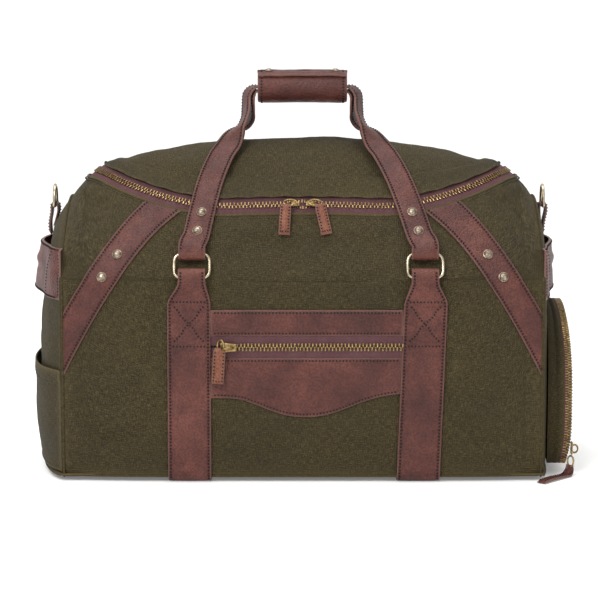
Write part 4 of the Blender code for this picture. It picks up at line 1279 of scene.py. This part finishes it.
def shell_seams():
    """The turned seams where the end panels and the base meet the long walls."""
    for side in (-1, 1):
        for back in (False, True):
            way = 1 if back else -1
            path = []
            for v in np.linspace(0.0, 0.995, 90):
                at = wall_point(FRONT_HALF, v)
                path.append((side * (FRONT_HALF + 0.0014), -way * at.y, at.z))
            word = "back" if back else "front"
            seam_cord(f"end_seam_{word}_{WORD[side]}", path, 0.0014, "bag", 0.1)
    for way, word in ((-1, "front"), (1, "back")):
        path = [(x, way * (half_depth(x) - TUCK * 0.42), FOOT - 0.0006)
                for x in np.linspace(-FRONT_HALF, FRONT_HALF, 90)]
        seam_cord(f"base_seam_{word}", path, 0.0015, "bag")
    for side in (-1, 1):
        path = [tuple(end_surface(side, y, 0.008) + Vector((-side * 0.0006, 0, -0.0022)))
                for y in np.linspace(-0.131, 0.131, 60)]
        seam_cord(f"base_seam_{WORD[side]}", path, 0.0015, "bag")


# Handles

def handle_path(back):
    """Half of a handle strap: fold round the ring, up the bag, off the lid, round the elbow into the wrap."""
    x0 = (RING_X[-1] - RING_X[1]) / 2
    up = Vector((0.0, sin(RING_LEAN), cos(RING_LEAN)))
    out = Vector((0.0, -cos(RING_LEAN), sin(RING_LEAN)))
    upper_bar = Vector((x0, -BAR_Y, BAR_Z)) + up * (2 * RING_HALF[1])
    fold = upper_bar - up * 0.0017
    points, normals = [], []

    def add(at, normal):
        points.append(Vector(at))
        normals.append(Vector(normal).normalized())

    add(upper_bar + up * 0.0085 - out * 0.0040, -out)
    add(upper_bar + up * 0.0010 - out * 0.0038, -out)
    for a, b in arc((0.0, 0.0), 0.0036, -160, -20, 5):
        add(fold + out * a + up * b, out * a + up * b)
    add(upper_bar + up * 0.0010 + out * 0.0038, out)
    add(upper_bar + up * 0.0090 + out * 0.0030, out)
    for x, y, lift in ((-0.1120, -0.1190, 0.0060), (-0.1075, -0.1080, 0.0048), (-0.0992, -0.0863, 0.0040),
                       (-0.0920, -0.0690, 0.0040), (-0.0838, -0.0505, 0.0040), (-0.0765, -0.0360, 0.0042)):
        normal = top_normal(x, y)
        add(top_point(x, y) + normal * lift, normal)
    rise_x = -0.0545 if back else -0.0590
    top = GRIP_Z + (-0.0022 if back else 0.0022)
    bend = 0.0085 if back else 0.0125
    twist = 0.38 if back else -0.38
    add((-0.0700, -0.0240, 0.3475), (-0.50, -0.25, 0.80))
    add((rise_x - 0.0045, -0.0170, 0.3550), (-0.92, twist * 0.6 - 0.1, 0.30))
    add((rise_x - 0.0006, -0.0095, 0.3645), (-0.93, twist, 0.04))
    add((rise_x, -0.0030, 0.3735), (-0.94, twist * 0.9, 0.02))
    for x, z in arc((rise_x + bend, top - bend), bend, 180, 90, 6):
        add((x, 0.0, z), (x - rise_x - bend, bend * twist * 0.8 * (rise_x + bend - x) / bend, z - top + bend))
    add((-0.020, 0.0, top), (0, 0, 1))
    add((0.0, 0.0, top), (0, 0, 1))
    return points, normals


def handle_strap(back):
    """A handle strap, sewn along both edges, with the rivets that close its ring loops."""
    points, facing = handle_path(back)
    path, normals = smooth_path(points, 6), smooth_path(facing, 6)
    stretch = (RING_X[1] + RING_X[-1]) / 2

    def lean(at):
        share = min(1.0, max(0.0, (CREST - at.z) / (CREST - LEAN_FOOT)))
        return Vector((at.x + stretch * share, at.y, at.z))

    left = [lean(p) for p in path]
    right = [lean(Vector((-p.x, p.y, p.z))) for p in path]
    whole = left + list(reversed(right))[1:]
    faces = normals + [Vector((-n.x, n.y, n.z)) for n in reversed(normals)][1:]
    if back:
        whole = [Vector((p.x, -p.y, p.z)) for p in whole]
        faces = [Vector((n.x, -n.y, n.z)) for n in faces]
    word = "back" if back else "front"
    points, facing = resampled(whole, faces, 0.0028)
    places = path_places(points, facing, -STRAP / 2)
    count = len(points)
    widths = np.full(count, STRAP_WIDTH)
    from_end = np.minimum(np.arange(count), count - 1 - np.arange(count)) * 0.0028
    fold = 0.8 * np.exp(-((from_end - 0.0165) / 0.0050) ** 2)
    fold += 0.35 * np.exp(-((points[:, 2] - 0.352) / 0.012) ** 2)
    piece = strip_piece(f"handle_{word}_leather", places, widths, STRAP, np.clip(fold, 0, 1))
    settle_piece(piece, HIDE, f"{word}_handle", [f"handle_strap_{word}"])
    found = strip_rows(places, widths, STRAP, 9, count - 9)
    settle_piece(scattered(f"handle_{word}_stitches", stitch_shape, found), THREAD, f"{word}_handle")
    for end, place_word in ((1, "left"), (-1, "right")):
        for height, place in ((0.2525, "lower"), (0.2700, "upper")):
            order, out = points[::end], facing[::end]
            spot = next(i for i in range(12, count) if order[i][2] > height)
            share = (height - order[spot - 1][2]) / (order[spot][2] - order[spot - 1][2])
            at = order[spot - 1] * (1 - share) + order[spot] * share
            normal = out[spot]
            rivet(f"handle_{word}_cap_{place_word}_{place}", at + normal * (STRAP / 2 + 0.0002), normal,
                  f"{word}_handle", [f"handle_rivet_{word}_{place_word}_{place}"])


def wire_piece(name, path, radius, finish, body, nodes):
    """A closed wire as a bevelled curve, made a mesh."""
    data = bpy.data.curves.new(name, "CURVE")
    data.dimensions = "3D"
    data.bevel_depth = radius
    data.bevel_resolution = 4
    data.resolution_u = 3
    line = data.splines.new("NURBS")
    line.points.add(len(path) - 1)
    for point, at in zip(line.points, path):
        point.co = (*at, 1.0)
    line.use_cyclic_u = True
    line.order_u = 4
    wire = bpy.data.objects.new(name, data)
    bpy.context.scene.collection.objects.link(wire)
    bpy.ops.object.select_all(action="DESELECT")
    wire.select_set(True)
    bpy.context.view_layer.objects.active = wire
    bpy.ops.object.convert(target="MESH")
    wire = bpy.context.active_object
    wire.data.shade_smooth()
    return settle_piece(wire, finish, body, nodes)


def handle_ring(side, back):
    """Oval ring between a band's loop and a handle strap."""
    way = 1 if back else -1
    path = []
    for i in range(40):
        turn = 2 * pi * i / 40
        c, s = cos(turn), sin(turn)
        x = RING_HALF[0] * (1 if c > 0 else -1) * abs(c) ** 0.50
        z = RING_HALF[1] * (1 if s > 0 else -1) * abs(s) ** 0.50
        rise = RING_HALF[1] + z
        path.append((RING_X[side] + x, way * (BAR_Y - rise * sin(RING_LEAN)), BAR_Z + rise * cos(RING_LEAN)))
    word = "back" if back else "front"
    wire_piece(f"oval_ring_{word}_{WORD[side]}", path, 0.00165, GOLD, f"{word}_handle",
               [f"handle_ring_{word}_{WORD[side]}"])


def wrap_section(turn):
    """Outline of the leather wrap round both straps."""
    return 0.0203 * cos(turn), 0.0163 * sin(turn)


def handle_wrap():
    """Leather grip that wraps both straps and laps over itself on top, closed by two snaps."""
    centre_z = GRIP_Z + 0.0012
    thick = 0.0024
    path = []
    for k in range(52):
        share = k / 51
        turn = radians(116) + share * radians(338)
        y, z = wrap_section(turn)
        path.append((y, z))
    path += [(y, z) for y, z in ((0.0052, 0.0169), (0.0010, 0.0178), (-0.0040, 0.0180), (-0.0090, 0.0176),
                                 (-0.0135, 0.0165), (-0.0165, 0.0152))]
    fine = smooth_path([Vector((0, y, z)) for y, z in path], 2)
    columns = np.linspace(-WRAP_HALF, WRAP_HALF, 48)
    grid = []
    for x in columns:
        end = abs(x) / WRAP_HALF
        swell = 1.0 + 0.020 * (1 - end ** 2) - 0.055 * end ** 8
        sink = 0.0012 * (1 - end ** 2)
        grid.append([(x, p.y * swell, centre_z + p.z * swell + (sink if p.z < 0 else -0.3 * sink))
                     for p in fine])
    points = np.array(grid)
    normals = np.cross(np.gradient(points, axis=0), np.gradient(points, axis=1))
    normals /= np.linalg.norm(normals, axis=2, keepdims=True)
    radial = points - np.array([0.0, 0.0, centre_z])
    radial[..., 0] = 0
    if np.sum(normals * radial, axis=2).mean() < 0:
        normals = -normals
    edge = rim_distance(points)
    over = np.abs(np.abs(points[..., 0]) - WRAP_HALF)
    groove = 0.0004 * np.exp(-((over - 0.0036) / 0.0007) ** 2)
    swell = 0.0004 * folds(points, 45.0, 60)
    points += normals * (swell - groove - 0.0007 * np.exp(-edge / 0.0007))[..., None]
    piece = sheet_piece("handle_wrap_leather", points, normals, thick, roll=0.2)
    paint = np.exp(-edge / 0.0007) * 0.7
    rim = [paint[r, c] for r, c in rim_of(*paint.shape)]
    layer = piece.data.attributes.new("edge", "FLOAT", "POINT")
    layer.data.foreach_set("value", np.concatenate([paint.ravel(), paint.ravel(), rim]).astype(np.float32))
    settle_piece(piece, HIDE, "front_handle", ["handle_wrap"])
    found = []
    size = points.shape[1]
    for x in (-WRAP_HALF + 0.0036, WRAP_HALF - 0.0036):
        row = int(np.argmin(np.abs(points[:, size // 2, 0] - x)))
        found += stitches(points[row, 4:-3], normals[row, 4:-3], 0.00005)
    settle_piece(scattered("handle_wrap_stitches", stitch_shape, found), THREAD, "front_handle")
    for x, word in ((-0.0350, "left"), (0.0345, "right")):
        at = Vector((x, -0.0060, centre_z + 0.0180))
        normal = Vector((0, -0.08, 1)).normalized()
        rivet(f"wrap_snap_cap_{word}", at, normal, "front_handle", [f"wrap_snap_{word}"], 0.82)


# Sliders and pulls

def slider_shape():
    """Zip slider along +X: a wedge-nosed top plate with a raised rim, its bridge and its crown."""
    shape = primitive(bpy.ops.mesh.primitive_cube_add, size=1.0, location=(0, 0, 0.0016))
    shape.scale = (0.0170, 0.0135, 0.0020)
    done()
    choose(shape, lambda c, n: n.x > 0.9)
    bpy.ops.transform.resize(value=(1, 0.55, 0.9))
    choose(shape, lambda c, n: n.x < -0.9)
    bpy.ops.transform.resize(value=(1, 0.80, 0.9))
    choose(shape, lambda c, n: n.z > 0.9)
    bpy.ops.mesh.inset(thickness=0.0014)
    bpy.ops.transform.translate(value=(0, 0, 0.0008))
    bpy.ops.mesh.inset(thickness=0.0012)
    bpy.ops.transform.translate(value=(0, 0, -0.0004))
    bpy.ops.object.mode_set(mode="OBJECT")
    soften = shape.modifiers.new("soften", "BEVEL")
    soften.width = 0.0007
    soften.segments = 2
    bpy.ops.object.modifier_apply(modifier="soften")
    bridge = primitive(bpy.ops.mesh.primitive_torus_add, major_radius=0.0042, minor_radius=0.00105,
                       major_segments=28,
                       minor_segments=10, location=(-0.001, 0, 0.0054), rotation=(pi / 2, 0, 0))
    bridge.scale = (1.25, 1.05, 0.80)
    done()
    bpy.ops.object.select_all(action="DESELECT")
    for one in (bridge, shape):
        one.select_set(True)
    bpy.context.view_layer.objects.active = shape
    bpy.ops.object.join()
    return bpy.context.active_object


def pull_piece(name, path, normal, width, body, node, thick=0.0026):
    """A leather pull, doubled and sewn, hanging from its ring."""
    points, facing = resampled(path, [normal] * len(path), 0.0016)
    places = path_places(points, facing, -thick / 2)
    count = len(points)
    taper = np.minimum(1.0, 0.82 + 0.06 * np.arange(count))
    widths = width * taper
    piece = strip_piece(name, places, widths, thick, crown=0.0004)
    settle_piece(piece, WORN_HIDE, body, [node])
    found = strip_rows(places, widths, thick, 1, count, 0.0019)
    found += cross_row_at(places, count - 3, width, thick)
    settle_piece(scattered(name + "_stitches", stitch_shape, found, 0.8), THREAD, body)


def cross_row_at(places, i, width, thick):
    path, facing = [], []
    for across in np.linspace(-width / 2 + 0.0019, width / 2 - 0.0019, 8):
        at, normal = places(i, across)
        path.append(np.array(at) + np.array(normal) * (thick + 0.0001))
        facing.append(np.array(normal))
    return stitches(path, facing, 0.0, 0.0028)


def link_ring(name, centre, out, along, half, body, wire=0.0008):
    """Small wire link that joins a slider's bridge to its pull."""
    out, along = Vector(out).normalized(), Vector(along).normalized()
    path = [Vector(centre) + along * (half[0] * cos(t)) + out * (half[1] * sin(t))
            for t in np.linspace(0, 2 * pi, 17)[:-1]]
    wire_piece(name, path, wire, BRASS, body, [])


def zip_hardware():
    at, inward, normal = zip_frame(0.0)
    for x, word, sway in ((-0.0082, "left", 3), (0.0087, "right", -12)):
        start = at + Vector((x, 0, 0)) + normal * 0.0010
        pull_x = x + (PULL_SPREAD if x > 0 else -PULL_SPREAD)
        nose = Vector((1 if x < 0 else -1, 0, 0))
        piece = scattered(f"main_slider_{word}_body", slider_shape, [(start, nose, normal)], 0.64)
        settle_piece(piece, BRASS, f"main_slider_{word}", [f"main_slider_{word}"])
        droop, turn = radians(12), radians(sway)
        down = (-inward * cos(droop) - normal * sin(droop)) * cos(turn) + Vector((-sin(turn), 0, 0))
        hinge = at + Vector((pull_x, 0, 0)) - inward * 0.002 + normal * 0.0080
        path = [hinge + down * d for d in np.linspace(0.0010, 0.0350, 12)]
        pull_piece(f"main_pull_{word}_leather", path, normal, 0.0115,
                   f"main_pull_{word}", f"main_pull_{word}")
        middle = at + Vector(((x + pull_x) / 2, 0, 0)) - inward * 0.0018 + normal * 0.0072
        link_ring(f"main_link_{word}", middle, Vector((1, 0, 0)), down, (0.0032, 0.0068), f"main_pull_{word}")
    at = Vector((-0.0740, -DEPTH_HALF - 0.0034, 0.1380))
    piece = scattered("pocket_slider_body", slider_shape, [(at, Vector((1, 0, 0)), Vector((0, -1, 0)))], 1.0)
    settle_piece(piece, BRASS, "pocket_slider", ["pocket_slider"])
    hinge = Vector((-0.0823, -DEPTH_HALF - 0.0092, 0.1455))
    path = [hinge + Vector((-0.0029, 0.0, -0.0440)) * t for t in np.linspace(0.16, 1.0, 12)]
    pull_piece("pocket_pull_leather", path, Vector((0, -1, 0)), 0.0125, "pocket_pull", "pocket_pull")
    link_ring("pocket_link", hinge + Vector((0.0004, 0.0012, -0.0052)),
              (0.45, -0.4, 0), (0, 0, 1), (0.0060, 0.0044),
              "pocket_pull", 0.0009)


# Ends

def end_handle(side):
    """Grab handle across an end, bowed out for the fingers, with a ridge folded along its middle."""
    ys = np.linspace(-0.1325, 0.1325, 100)
    rows = []
    for y in ys:
        stand = 0.0004 + 0.0095 * max(0.0, 1 - (y / 0.075) ** 2) ** 1.5
        row = []
        for z in np.linspace(0.1840, 0.2340, 26):
            ridge = 0.0034 * exp(-((z - 0.2155) / 0.0045) ** 2) * max(0.0, 1 - (y / 0.070) ** 2)
            dip = -0.0012 * exp(-((z - 0.2075) / 0.0030) ** 2) * max(0.0, 1 - (y / 0.070) ** 2)
            out = Vector((side, 0, 0))
            row.append(end_skin(side, y, z) + out * (stand + HIDE_THICK + (ridge + dip) * 0.55))
        rows.append(row)
    points = np.array(rows)
    normals = grid_normals(points, (0.0, 0.0, 0.15))
    edge = rim_distance(points)
    points += normals * (-0.0004 * np.exp(-((edge - STITCH_EDGE) / 0.0007) ** 2)
                         - 0.0007 * np.exp(-edge / 0.0007))[..., None]
    piece = sheet_piece(f"end_handle_{WORD[side]}_leather", points, normals, HIDE_THICK, roll=0.15)
    paint = np.exp(-edge / 0.0007) * 0.8
    rim = [paint[r, c] for r, c in rim_of(*paint.shape)]
    layer = piece.data.attributes.new("edge", "FLOAT", "POINT")
    layer.data.foreach_set("value", np.concatenate([paint.ravel(), paint.ravel(), rim]).astype(np.float32))
    settle_piece(piece, HIDE, "bag", [f"end_handle_{WORD[side]}"])
    found = []
    for column in (1, -2):
        found += stitches(points[2:-2, column], normals[2:-2, column], 0.0001)
    for row in (1, 14, -15, -2):
        found += stitches(points[row, 1:-1], normals[row, 1:-1], 0.0001)
    settle_piece(scattered(f"end_handle_{WORD[side]}_stitches", stitch_shape, found), THREAD, "bag")


def slip_pocket():
    """Open canvas pocket on the left end, gaping at its hemmed top."""
    rows = []
    for y in np.linspace(-0.1320, 0.1320, 80):
        row = []
        for z in np.linspace(0.010, 0.112, 40):
            gape = max(0.0, 1 - (abs(y) / 0.132) ** 3) * min(1.0, (z - 0.010) / 0.035)
            hem = 0.0011 * float(smoothstep(z, 0.0985, 0.1000))
            row.append(end_skin(-1, y, z) - Vector((0.0022 + 0.0034 * gape + hem, 0, 0)))
        rows.append(row)
    points = np.array(rows)
    normals = grid_normals(points, (0.0, 0.0, 0.15))
    edge = rim_distance(points)
    points += normals * (0.0010 * folds(points, 26.0, 70) * smoothstep(edge, 0.0, 0.02))[..., None]
    piece = sheet_piece("slip_pocket_canvas", points, normals, 0.0018, np.exp(-edge / 0.003))
    settle_piece(piece, CANVAS, "bag", ["slip_pocket"])
    found = stitches(points[1:-1, 34], normals[1:-1, 34], 0.0001)
    found += stitches(points[1:-1, 1], normals[1:-1, 1], 0.0001)
    settle_piece(scattered("slip_pocket_stitches", stitch_shape, found, 0.85), OLIVE_THREAD, "bag")


def pocket_outline(inset, count=120):
    """Arched outline of the zipped end pocket from its foot round to it again, as evenly spread (y, z)."""
    half, low, spring, top, corner = 0.106 - inset, 0.010 + inset, 0.085, 0.083 - inset, 0.014
    side = [(0.0, low)] + arc((half - corner, low + corner), corner, -90, 0, 8)
    side += [(half * cos(a), spring + top * sin(a)) for a in np.linspace(0.0, pi / 2, 24)]
    loop = np.array(side + [(-y, z) for y, z in reversed(side[1:-1])] + [side[0]])
    run = lengths(loop)
    at = np.linspace(0.0, run[-1], count + 1)[:-1]
    return np.stack([np.interp(at, run, loop[:, 0]), np.interp(at, run, loop[:, 1])], axis=1)


def pocket_face_x(y, z):
    droop = max(0.0, 1 - z / 0.055)
    fall = 0.0040 * max(0.0, (z - 0.09) / 0.08) ** 2
    return 0.2772 - 0.0030 * (y / 0.106) ** 2 - 0.0085 * droop ** 2 - fall


def ring_sheet(name, loops, thick, finish, nodes, wear=None, body="bag"):
    """A closed band of canvas or tape, given as loops of equal count, with thickness towards its inside."""
    count, size = len(loops), len(loops[0])
    points = np.array(loops)
    wrapped = np.concatenate([points[:, -1:], points, points[:, :1]], axis=1)
    across = np.gradient(points, axis=0)
    along = (wrapped[:, 2:] - wrapped[:, :-2]) / 2
    normals = np.cross(across, along)
    normals /= np.linalg.norm(normals, axis=2, keepdims=True) + 1e-12
    if np.sum(normals * (points - np.array([0.23, 0.0, 0.08])), axis=2).mean() < 0:
        normals = -normals
    inner = points - normals * thick
    corners = np.vstack([points.reshape(-1, 3), inner.reshape(-1, 3)])
    total = count * size
    faces = []
    for i in range(count - 1):
        for k in range(size):
            a, b = i * size + k, i * size + (k + 1) % size
            faces.append((a, b, b + size, a + size))
            faces.append((total + a, total + a + size, total + b + size, total + b))
    for row in (0, count - 1):
        for k in range(size):
            a, b = row * size + k, row * size + (k + 1) % size
            faces.append((a, total + a, total + b, b))
    run = lengths(points[0])
    flat = np.array([[(run[k], 0.004 * i) for k in range(size)] for i in range(count)]).reshape(-1, 2)
    paint = np.zeros((count, size)) + (0 if wear is None else np.array(wear)[:, None])
    piece = new_piece(name, corners, faces, np.vstack([flat, flat]),
                      {"wear": np.concatenate([paint.ravel()] * 2)})
    return settle_piece(piece, finish, body, nodes)


def zipped_pocket():
    """Bellows pocket on the right end: folded gusset, rounded face, zip round its rim."""
    outer = pocket_outline(0.0)
    gusset = []
    for t in np.linspace(0.0, 1.0, 9):
        fold = 0.0016 * sin(pi * t) - 0.0022 * exp(-((t - 0.5) / 0.15) ** 2)
        loop = []
        for y, z in outer:
            foot = end_surface(1, y, z).x + 0.0012
            rim = pocket_face_x(y, z) - 0.0068
            centre = np.array([0.0, 0.075])
            way = (np.array([y, z]) - centre) / (np.linalg.norm(np.array([y, z]) - centre) + 1e-9)
            shift = way * fold * (1.0 if z > 0.02 else 0.3)
            loop.append((foot + (rim - foot) * t, y + shift[0], z + shift[1]))
        gusset.append(loop)
    wear = [0.6, 0.3, 0.1, 0.0, 0.0, 0.0, 0.1, 0.3, 0.5]
    ring_sheet("end_pocket_gusset_canvas", gusset, 0.0016, CANVAS, ["end_pocket_gusset"], wear)
    tape = []
    for back, inset in ((0.0072, 0.0002), (0.0050, 0.0004), (0.0028, 0.0009),
                        (0.0012, 0.0022), (0.0006, 0.0042)):
        tape.append([(pocket_face_x(y, z) - back, y, z) for y, z in pocket_outline(inset)])
    ring_sheet("end_pocket_tape", tape, 0.0006, TAPE, ["end_pocket_zip"])
    rings = [pocket_outline(inset) for inset in (0.0036, 0.0060, 0.0090, 0.014, 0.022, 0.034, 0.050)]
    loops = []
    for k, ring in enumerate(rings):
        rise = (0.0002, 0.0011, 0.0014, 0.0014, 0.0015, 0.0017, 0.0019)[k]
        loops.append([(pocket_face_x(y, z) + rise, y, z) for y, z in ring])
    centre = np.array([[y, z] for y, z in rings[-1]]).mean(axis=0)
    for share in (0.66, 0.33):
        loops.append([(pocket_face_x(*(centre + (np.array(p) - centre) * share)) + 0.0020,
                       *(centre + (np.array(p) - centre) * share)) for p in rings[-1]])
    size = len(loops[0])
    corners = [p for loop in loops for p in loop]
    corners.append((pocket_face_x(*centre) + 0.0020, *centre))
    back = [(x - 0.0020, y, z) for x, y, z in corners]
    faces = [(i * size + k, i * size + (k + 1) % size, (i + 1) * size + (k + 1) % size, (i + 1) * size + k)
             for i in range(len(loops) - 1) for k in range(size)]
    tip = len(corners) - 1
    faces += [((len(loops) - 1) * size + k, (len(loops) - 1) * size + (k + 1) % size, tip)
              for k in range(size)]
    total = len(corners)
    faces += [tuple(total + i for i in reversed(f)) for f in faces]
    faces += [(k, total + k, total + (k + 1) % size, (k + 1) % size) for k in range(size)]
    uvs = [(p[1], p[2]) for p in corners + back]
    wear = np.concatenate([np.repeat([1.0, 0.8, 0.3, 0.1, 0, 0, 0, 0, 0], size), [0]])
    piece = new_piece("end_pocket_face_canvas", corners + back, faces, uvs,
                      {"wear": np.concatenate([wear, wear])})
    settle_piece(piece, CANVAS, "bag", ["end_pocket_face"])
    ring = rings[2]
    path = [(pocket_face_x(y, z) + 0.0016, y, z) for y, z in ring][3:-3]
    settle_piece(scattered("end_pocket_stitches", stitch_shape,
                           stitches(path, [(1, 0, 0)] * len(path)), 0.85),
                 OLIVE_THREAD, "bag")
    rim = pocket_outline(0.0010, 240)[10:-10]
    line = np.array([(pocket_face_x(y, z) - 0.0026, y, z) for y, z in rim])
    line, _ = resampled(line, [(1, 0, 0)] * len(line), 0.00135)
    places = []
    for k, at in enumerate(line[1:-1]):
        ahead = line[k + 2] - line[k]
        way = 1 if k % 2 else -1
        outward = np.cross(ahead, [1.0, 0.0, 0.0])
        outward /= np.linalg.norm(outward)
        if outward.dot(at - np.array([0.277, 0.0, 0.075])) < 0:
            outward = -outward
        tip = np.array([way, 0.0, 0.0])
        root = at - tip * 0.0009 + outward * 0.0006
        places.append((root, np.cross(tip, outward), outward))
    settle_piece(scattered("end_pocket_teeth", tooth_shape, places, 0.70), BRASS, "bag")


def end_pocket_hardware():
    at = Vector((pocket_face_x(-0.099, 0.027) + 0.0026, -0.0990, 0.0270))
    piece = scattered("end_pocket_slider_body", slider_shape,
                      [(at, Vector((0, 0, 1)), Vector((1, 0, 0)))], 0.78)
    settle_piece(piece, BRASS, "end_pocket_slider", ["end_pocket_slider"])
    hinge = Vector((0.2738, -0.1118, 0.0120))
    path = smooth_path([hinge, Vector((0.2720, -0.1140, 0.0050)), Vector((0.2660, -0.1195, 0.0022)),
                        Vector((0.2530, -0.1348, 0.0030)), Vector((0.2400, -0.1500, 0.0022))], 5)
    turns = smooth_path([Vector((0.45, -0.45, 0.4)), Vector((0.4, -0.4, 0.7)),
                         Vector((0, 0, 1)), Vector((0, 0, 1)),
                         Vector((0, 0, 1))], 5)
    points, facing = resampled(path, turns, 0.0018)
    places = path_places(points, facing, -0.0012)
    widths = np.full(len(points), 0.0100)
    piece = strip_piece("end_pocket_pull_leather", places, widths, 0.0024)
    settle_piece(piece, HIDE, "end_pocket_pull", ["end_pocket_pull"])
    found = strip_rows(places, widths, 0.0024, 2, len(points), 0.0019)
    settle_piece(scattered("end_pocket_pull_stitches", stitch_shape, found, 0.8), THREAD, "end_pocket_pull")
    link_ring("end_pocket_link", hinge + Vector((0.0006, 0.0040, 0.0030)), (0.78, -0.62, 0), (0.1, 0.5, 0.9),
              (0.0058, 0.0036), "end_pocket_pull", 0.0009)


def strap_anchor(side, bar_x):
    """D-ring and the leather tab that holds it, at the top of an end."""
    bar_z, turn = 0.268, 0.0034
    lower = end_surface(side, 0.0, 0.238).x * side + 0.0032
    inner = end_surface(side, 0.0, 0.247).x * side + 0.0012
    flat = [(inner, 0.247), (bar_x - turn, 0.262)]
    flat += arc((bar_x, bar_z - 0.0004), turn, 180, 0, 9)
    flat += [(bar_x + turn, 0.262), (lower + 0.0006, 0.250), (lower, 0.238)]
    path = smooth_path([Vector((side * x, 0, z)) for x, z in flat], 3)
    ahead = np.gradient(np.array([tuple(p) for p in path]), axis=0)
    normals = np.stack([-side * ahead[:, 2], 0 * ahead[:, 0], side * ahead[:, 0]], axis=1)
    points, facing = resampled(path, normals, 0.0016)
    centre = np.array([side * bar_x, 0.0, bar_z])
    if np.sum(facing * (points - centre), axis=1).mean() < 0:
        facing = -facing
    places = path_places(points, facing, -0.0009)
    widths = np.full(len(points), 0.0205)
    piece = strip_piece(f"dring_tab_{WORD[side]}_leather", places, widths, 0.0018)
    settle_piece(piece, HIDE, "bag", [f"dring_tab_{WORD[side]}"])
    found = strip_rows(places, widths, 0.0018, 2, len(points) - 1)
    settle_piece(scattered(f"dring_tab_{WORD[side]}_stitches", stitch_shape, found), THREAD, "bag")
    half, height = 0.0128, 0.0215
    path = [(side * bar_x, y, bar_z) for y in np.linspace(-half + 0.0004, half - 0.0004, 9)]
    for a in np.linspace(6, 174, 26):
        path.append((side * bar_x, half * cos(radians(a)), bar_z + height * sin(radians(a)) ** 0.8))
    wire_piece(f"dring_{WORD[side]}_wire", path, 0.00165, GOLD,
               f"dring_{WORD[side]}", [f"dring_{WORD[side]}"])


# Studio

def soft_light(name, place, target, size, power):
    data = bpy.data.lights.new(name, "AREA")
    data.shape = "RECTANGLE"
    data.size, data.size_y = size
    data.energy = power
    light = bpy.data.objects.new(name, data)
    light.location = place
    light.rotation_euler = (Vector(target) - Vector(place)).to_track_quat("-Z", "Y").to_euler()
    bpy.context.scene.collection.objects.link(light)


def studio():
    """Pale sweep, a white surround and three large soft lights."""
    depth = np.concatenate([np.linspace(-4.0, 2.5, 14),
                            2.5 + 1.5 * np.sin(np.linspace(0.1, pi / 2, 12)), [4.0]])
    height = np.concatenate([np.zeros(14), 1.5 - 1.5 * np.cos(np.linspace(0.1, pi / 2, 12)), [4.5]])
    corners, faces = [], []
    for x in (-6.0, 6.0):
        corners += [(x, y, z) for y, z in zip(depth, height)]
    size = len(depth)
    faces = [(k, k + 1, size + k + 1, size + k) for k in range(size - 1)]
    mesh = bpy.data.meshes.new("studio_sweep")
    mesh.from_pydata(corners, [], faces)
    mesh.shade_smooth()
    sweep = bpy.data.objects.new("studio_sweep", mesh)
    bpy.context.scene.collection.objects.link(sweep)
    paint = Finish("white_paper", 0.9)
    paint.put(paint.shader.inputs["Base Color"], (0.93, 0.93, 0.93, 1.0))
    paint.put(paint.shader.inputs["Emission Color"], (1.0, 1.0, 1.0, 1.0))
    paint.put(paint.shader.inputs["Emission Strength"], 0.16)
    mesh.materials.append(paint.material)
    world = bpy.data.worlds.new("white_surround")
    world.use_nodes = True
    world.node_tree.nodes["Background"].inputs["Color"].default_value = (1.0, 1.0, 1.0, 1.0)
    world.node_tree.nodes["Background"].inputs["Strength"].default_value = 0.74
    bpy.context.scene.world = world
    soft_light("key_light", (-0.9, -1.9, 1.9), (0.0, -0.05, 0.18), (1.0, 0.8), 40.0)
    soft_light("fill_light", (1.5, -1.8, 0.9), (0.0, -0.1, 0.15), (1.2, 1.2), 6.0)
    soft_light("top_light", (0.0, 0.1, 2.2), (0.0, 0.0, 0.2), (1.8, 1.2), 26.0)
    bpy.context.scene.view_settings.view_transform = "Standard"


def build():
    make_camera()
    studio()
    for back in (False, True):
        wall_canvas(back)
    for side in (-1, 1):
        end_canvas(side)
        band(side)
        corner_strap(side)
        corner_strap(side, back=True)
        end_handle(side)
        strap_anchor(side, {-1: 0.2605, 1: 0.2530}[side])
    base_canvas()
    lid_canvas()
    hinge_fold()
    inner_lining()
    shell_seams()
    zip_welt()
    main_tape("body_tape", -0.0112, -0.0002, "bag", "body_zip_tape")
    main_tape("lid_tape", 0.0002, 0.0112, "lid", "lid_zip_tape")
    main_teeth()
    front_pocket()
    zip_hardware()
    slip_pocket()
    zipped_pocket()
    end_pocket_hardware()
    for back in (False, True):
        handle_strap(back)
        for side in (-1, 1):
            handle_ring(side, back)
    handle_wrap()
    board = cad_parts["base_board"]
    board.data.materials.clear()
    board.data.materials.append(BOARD)


build()
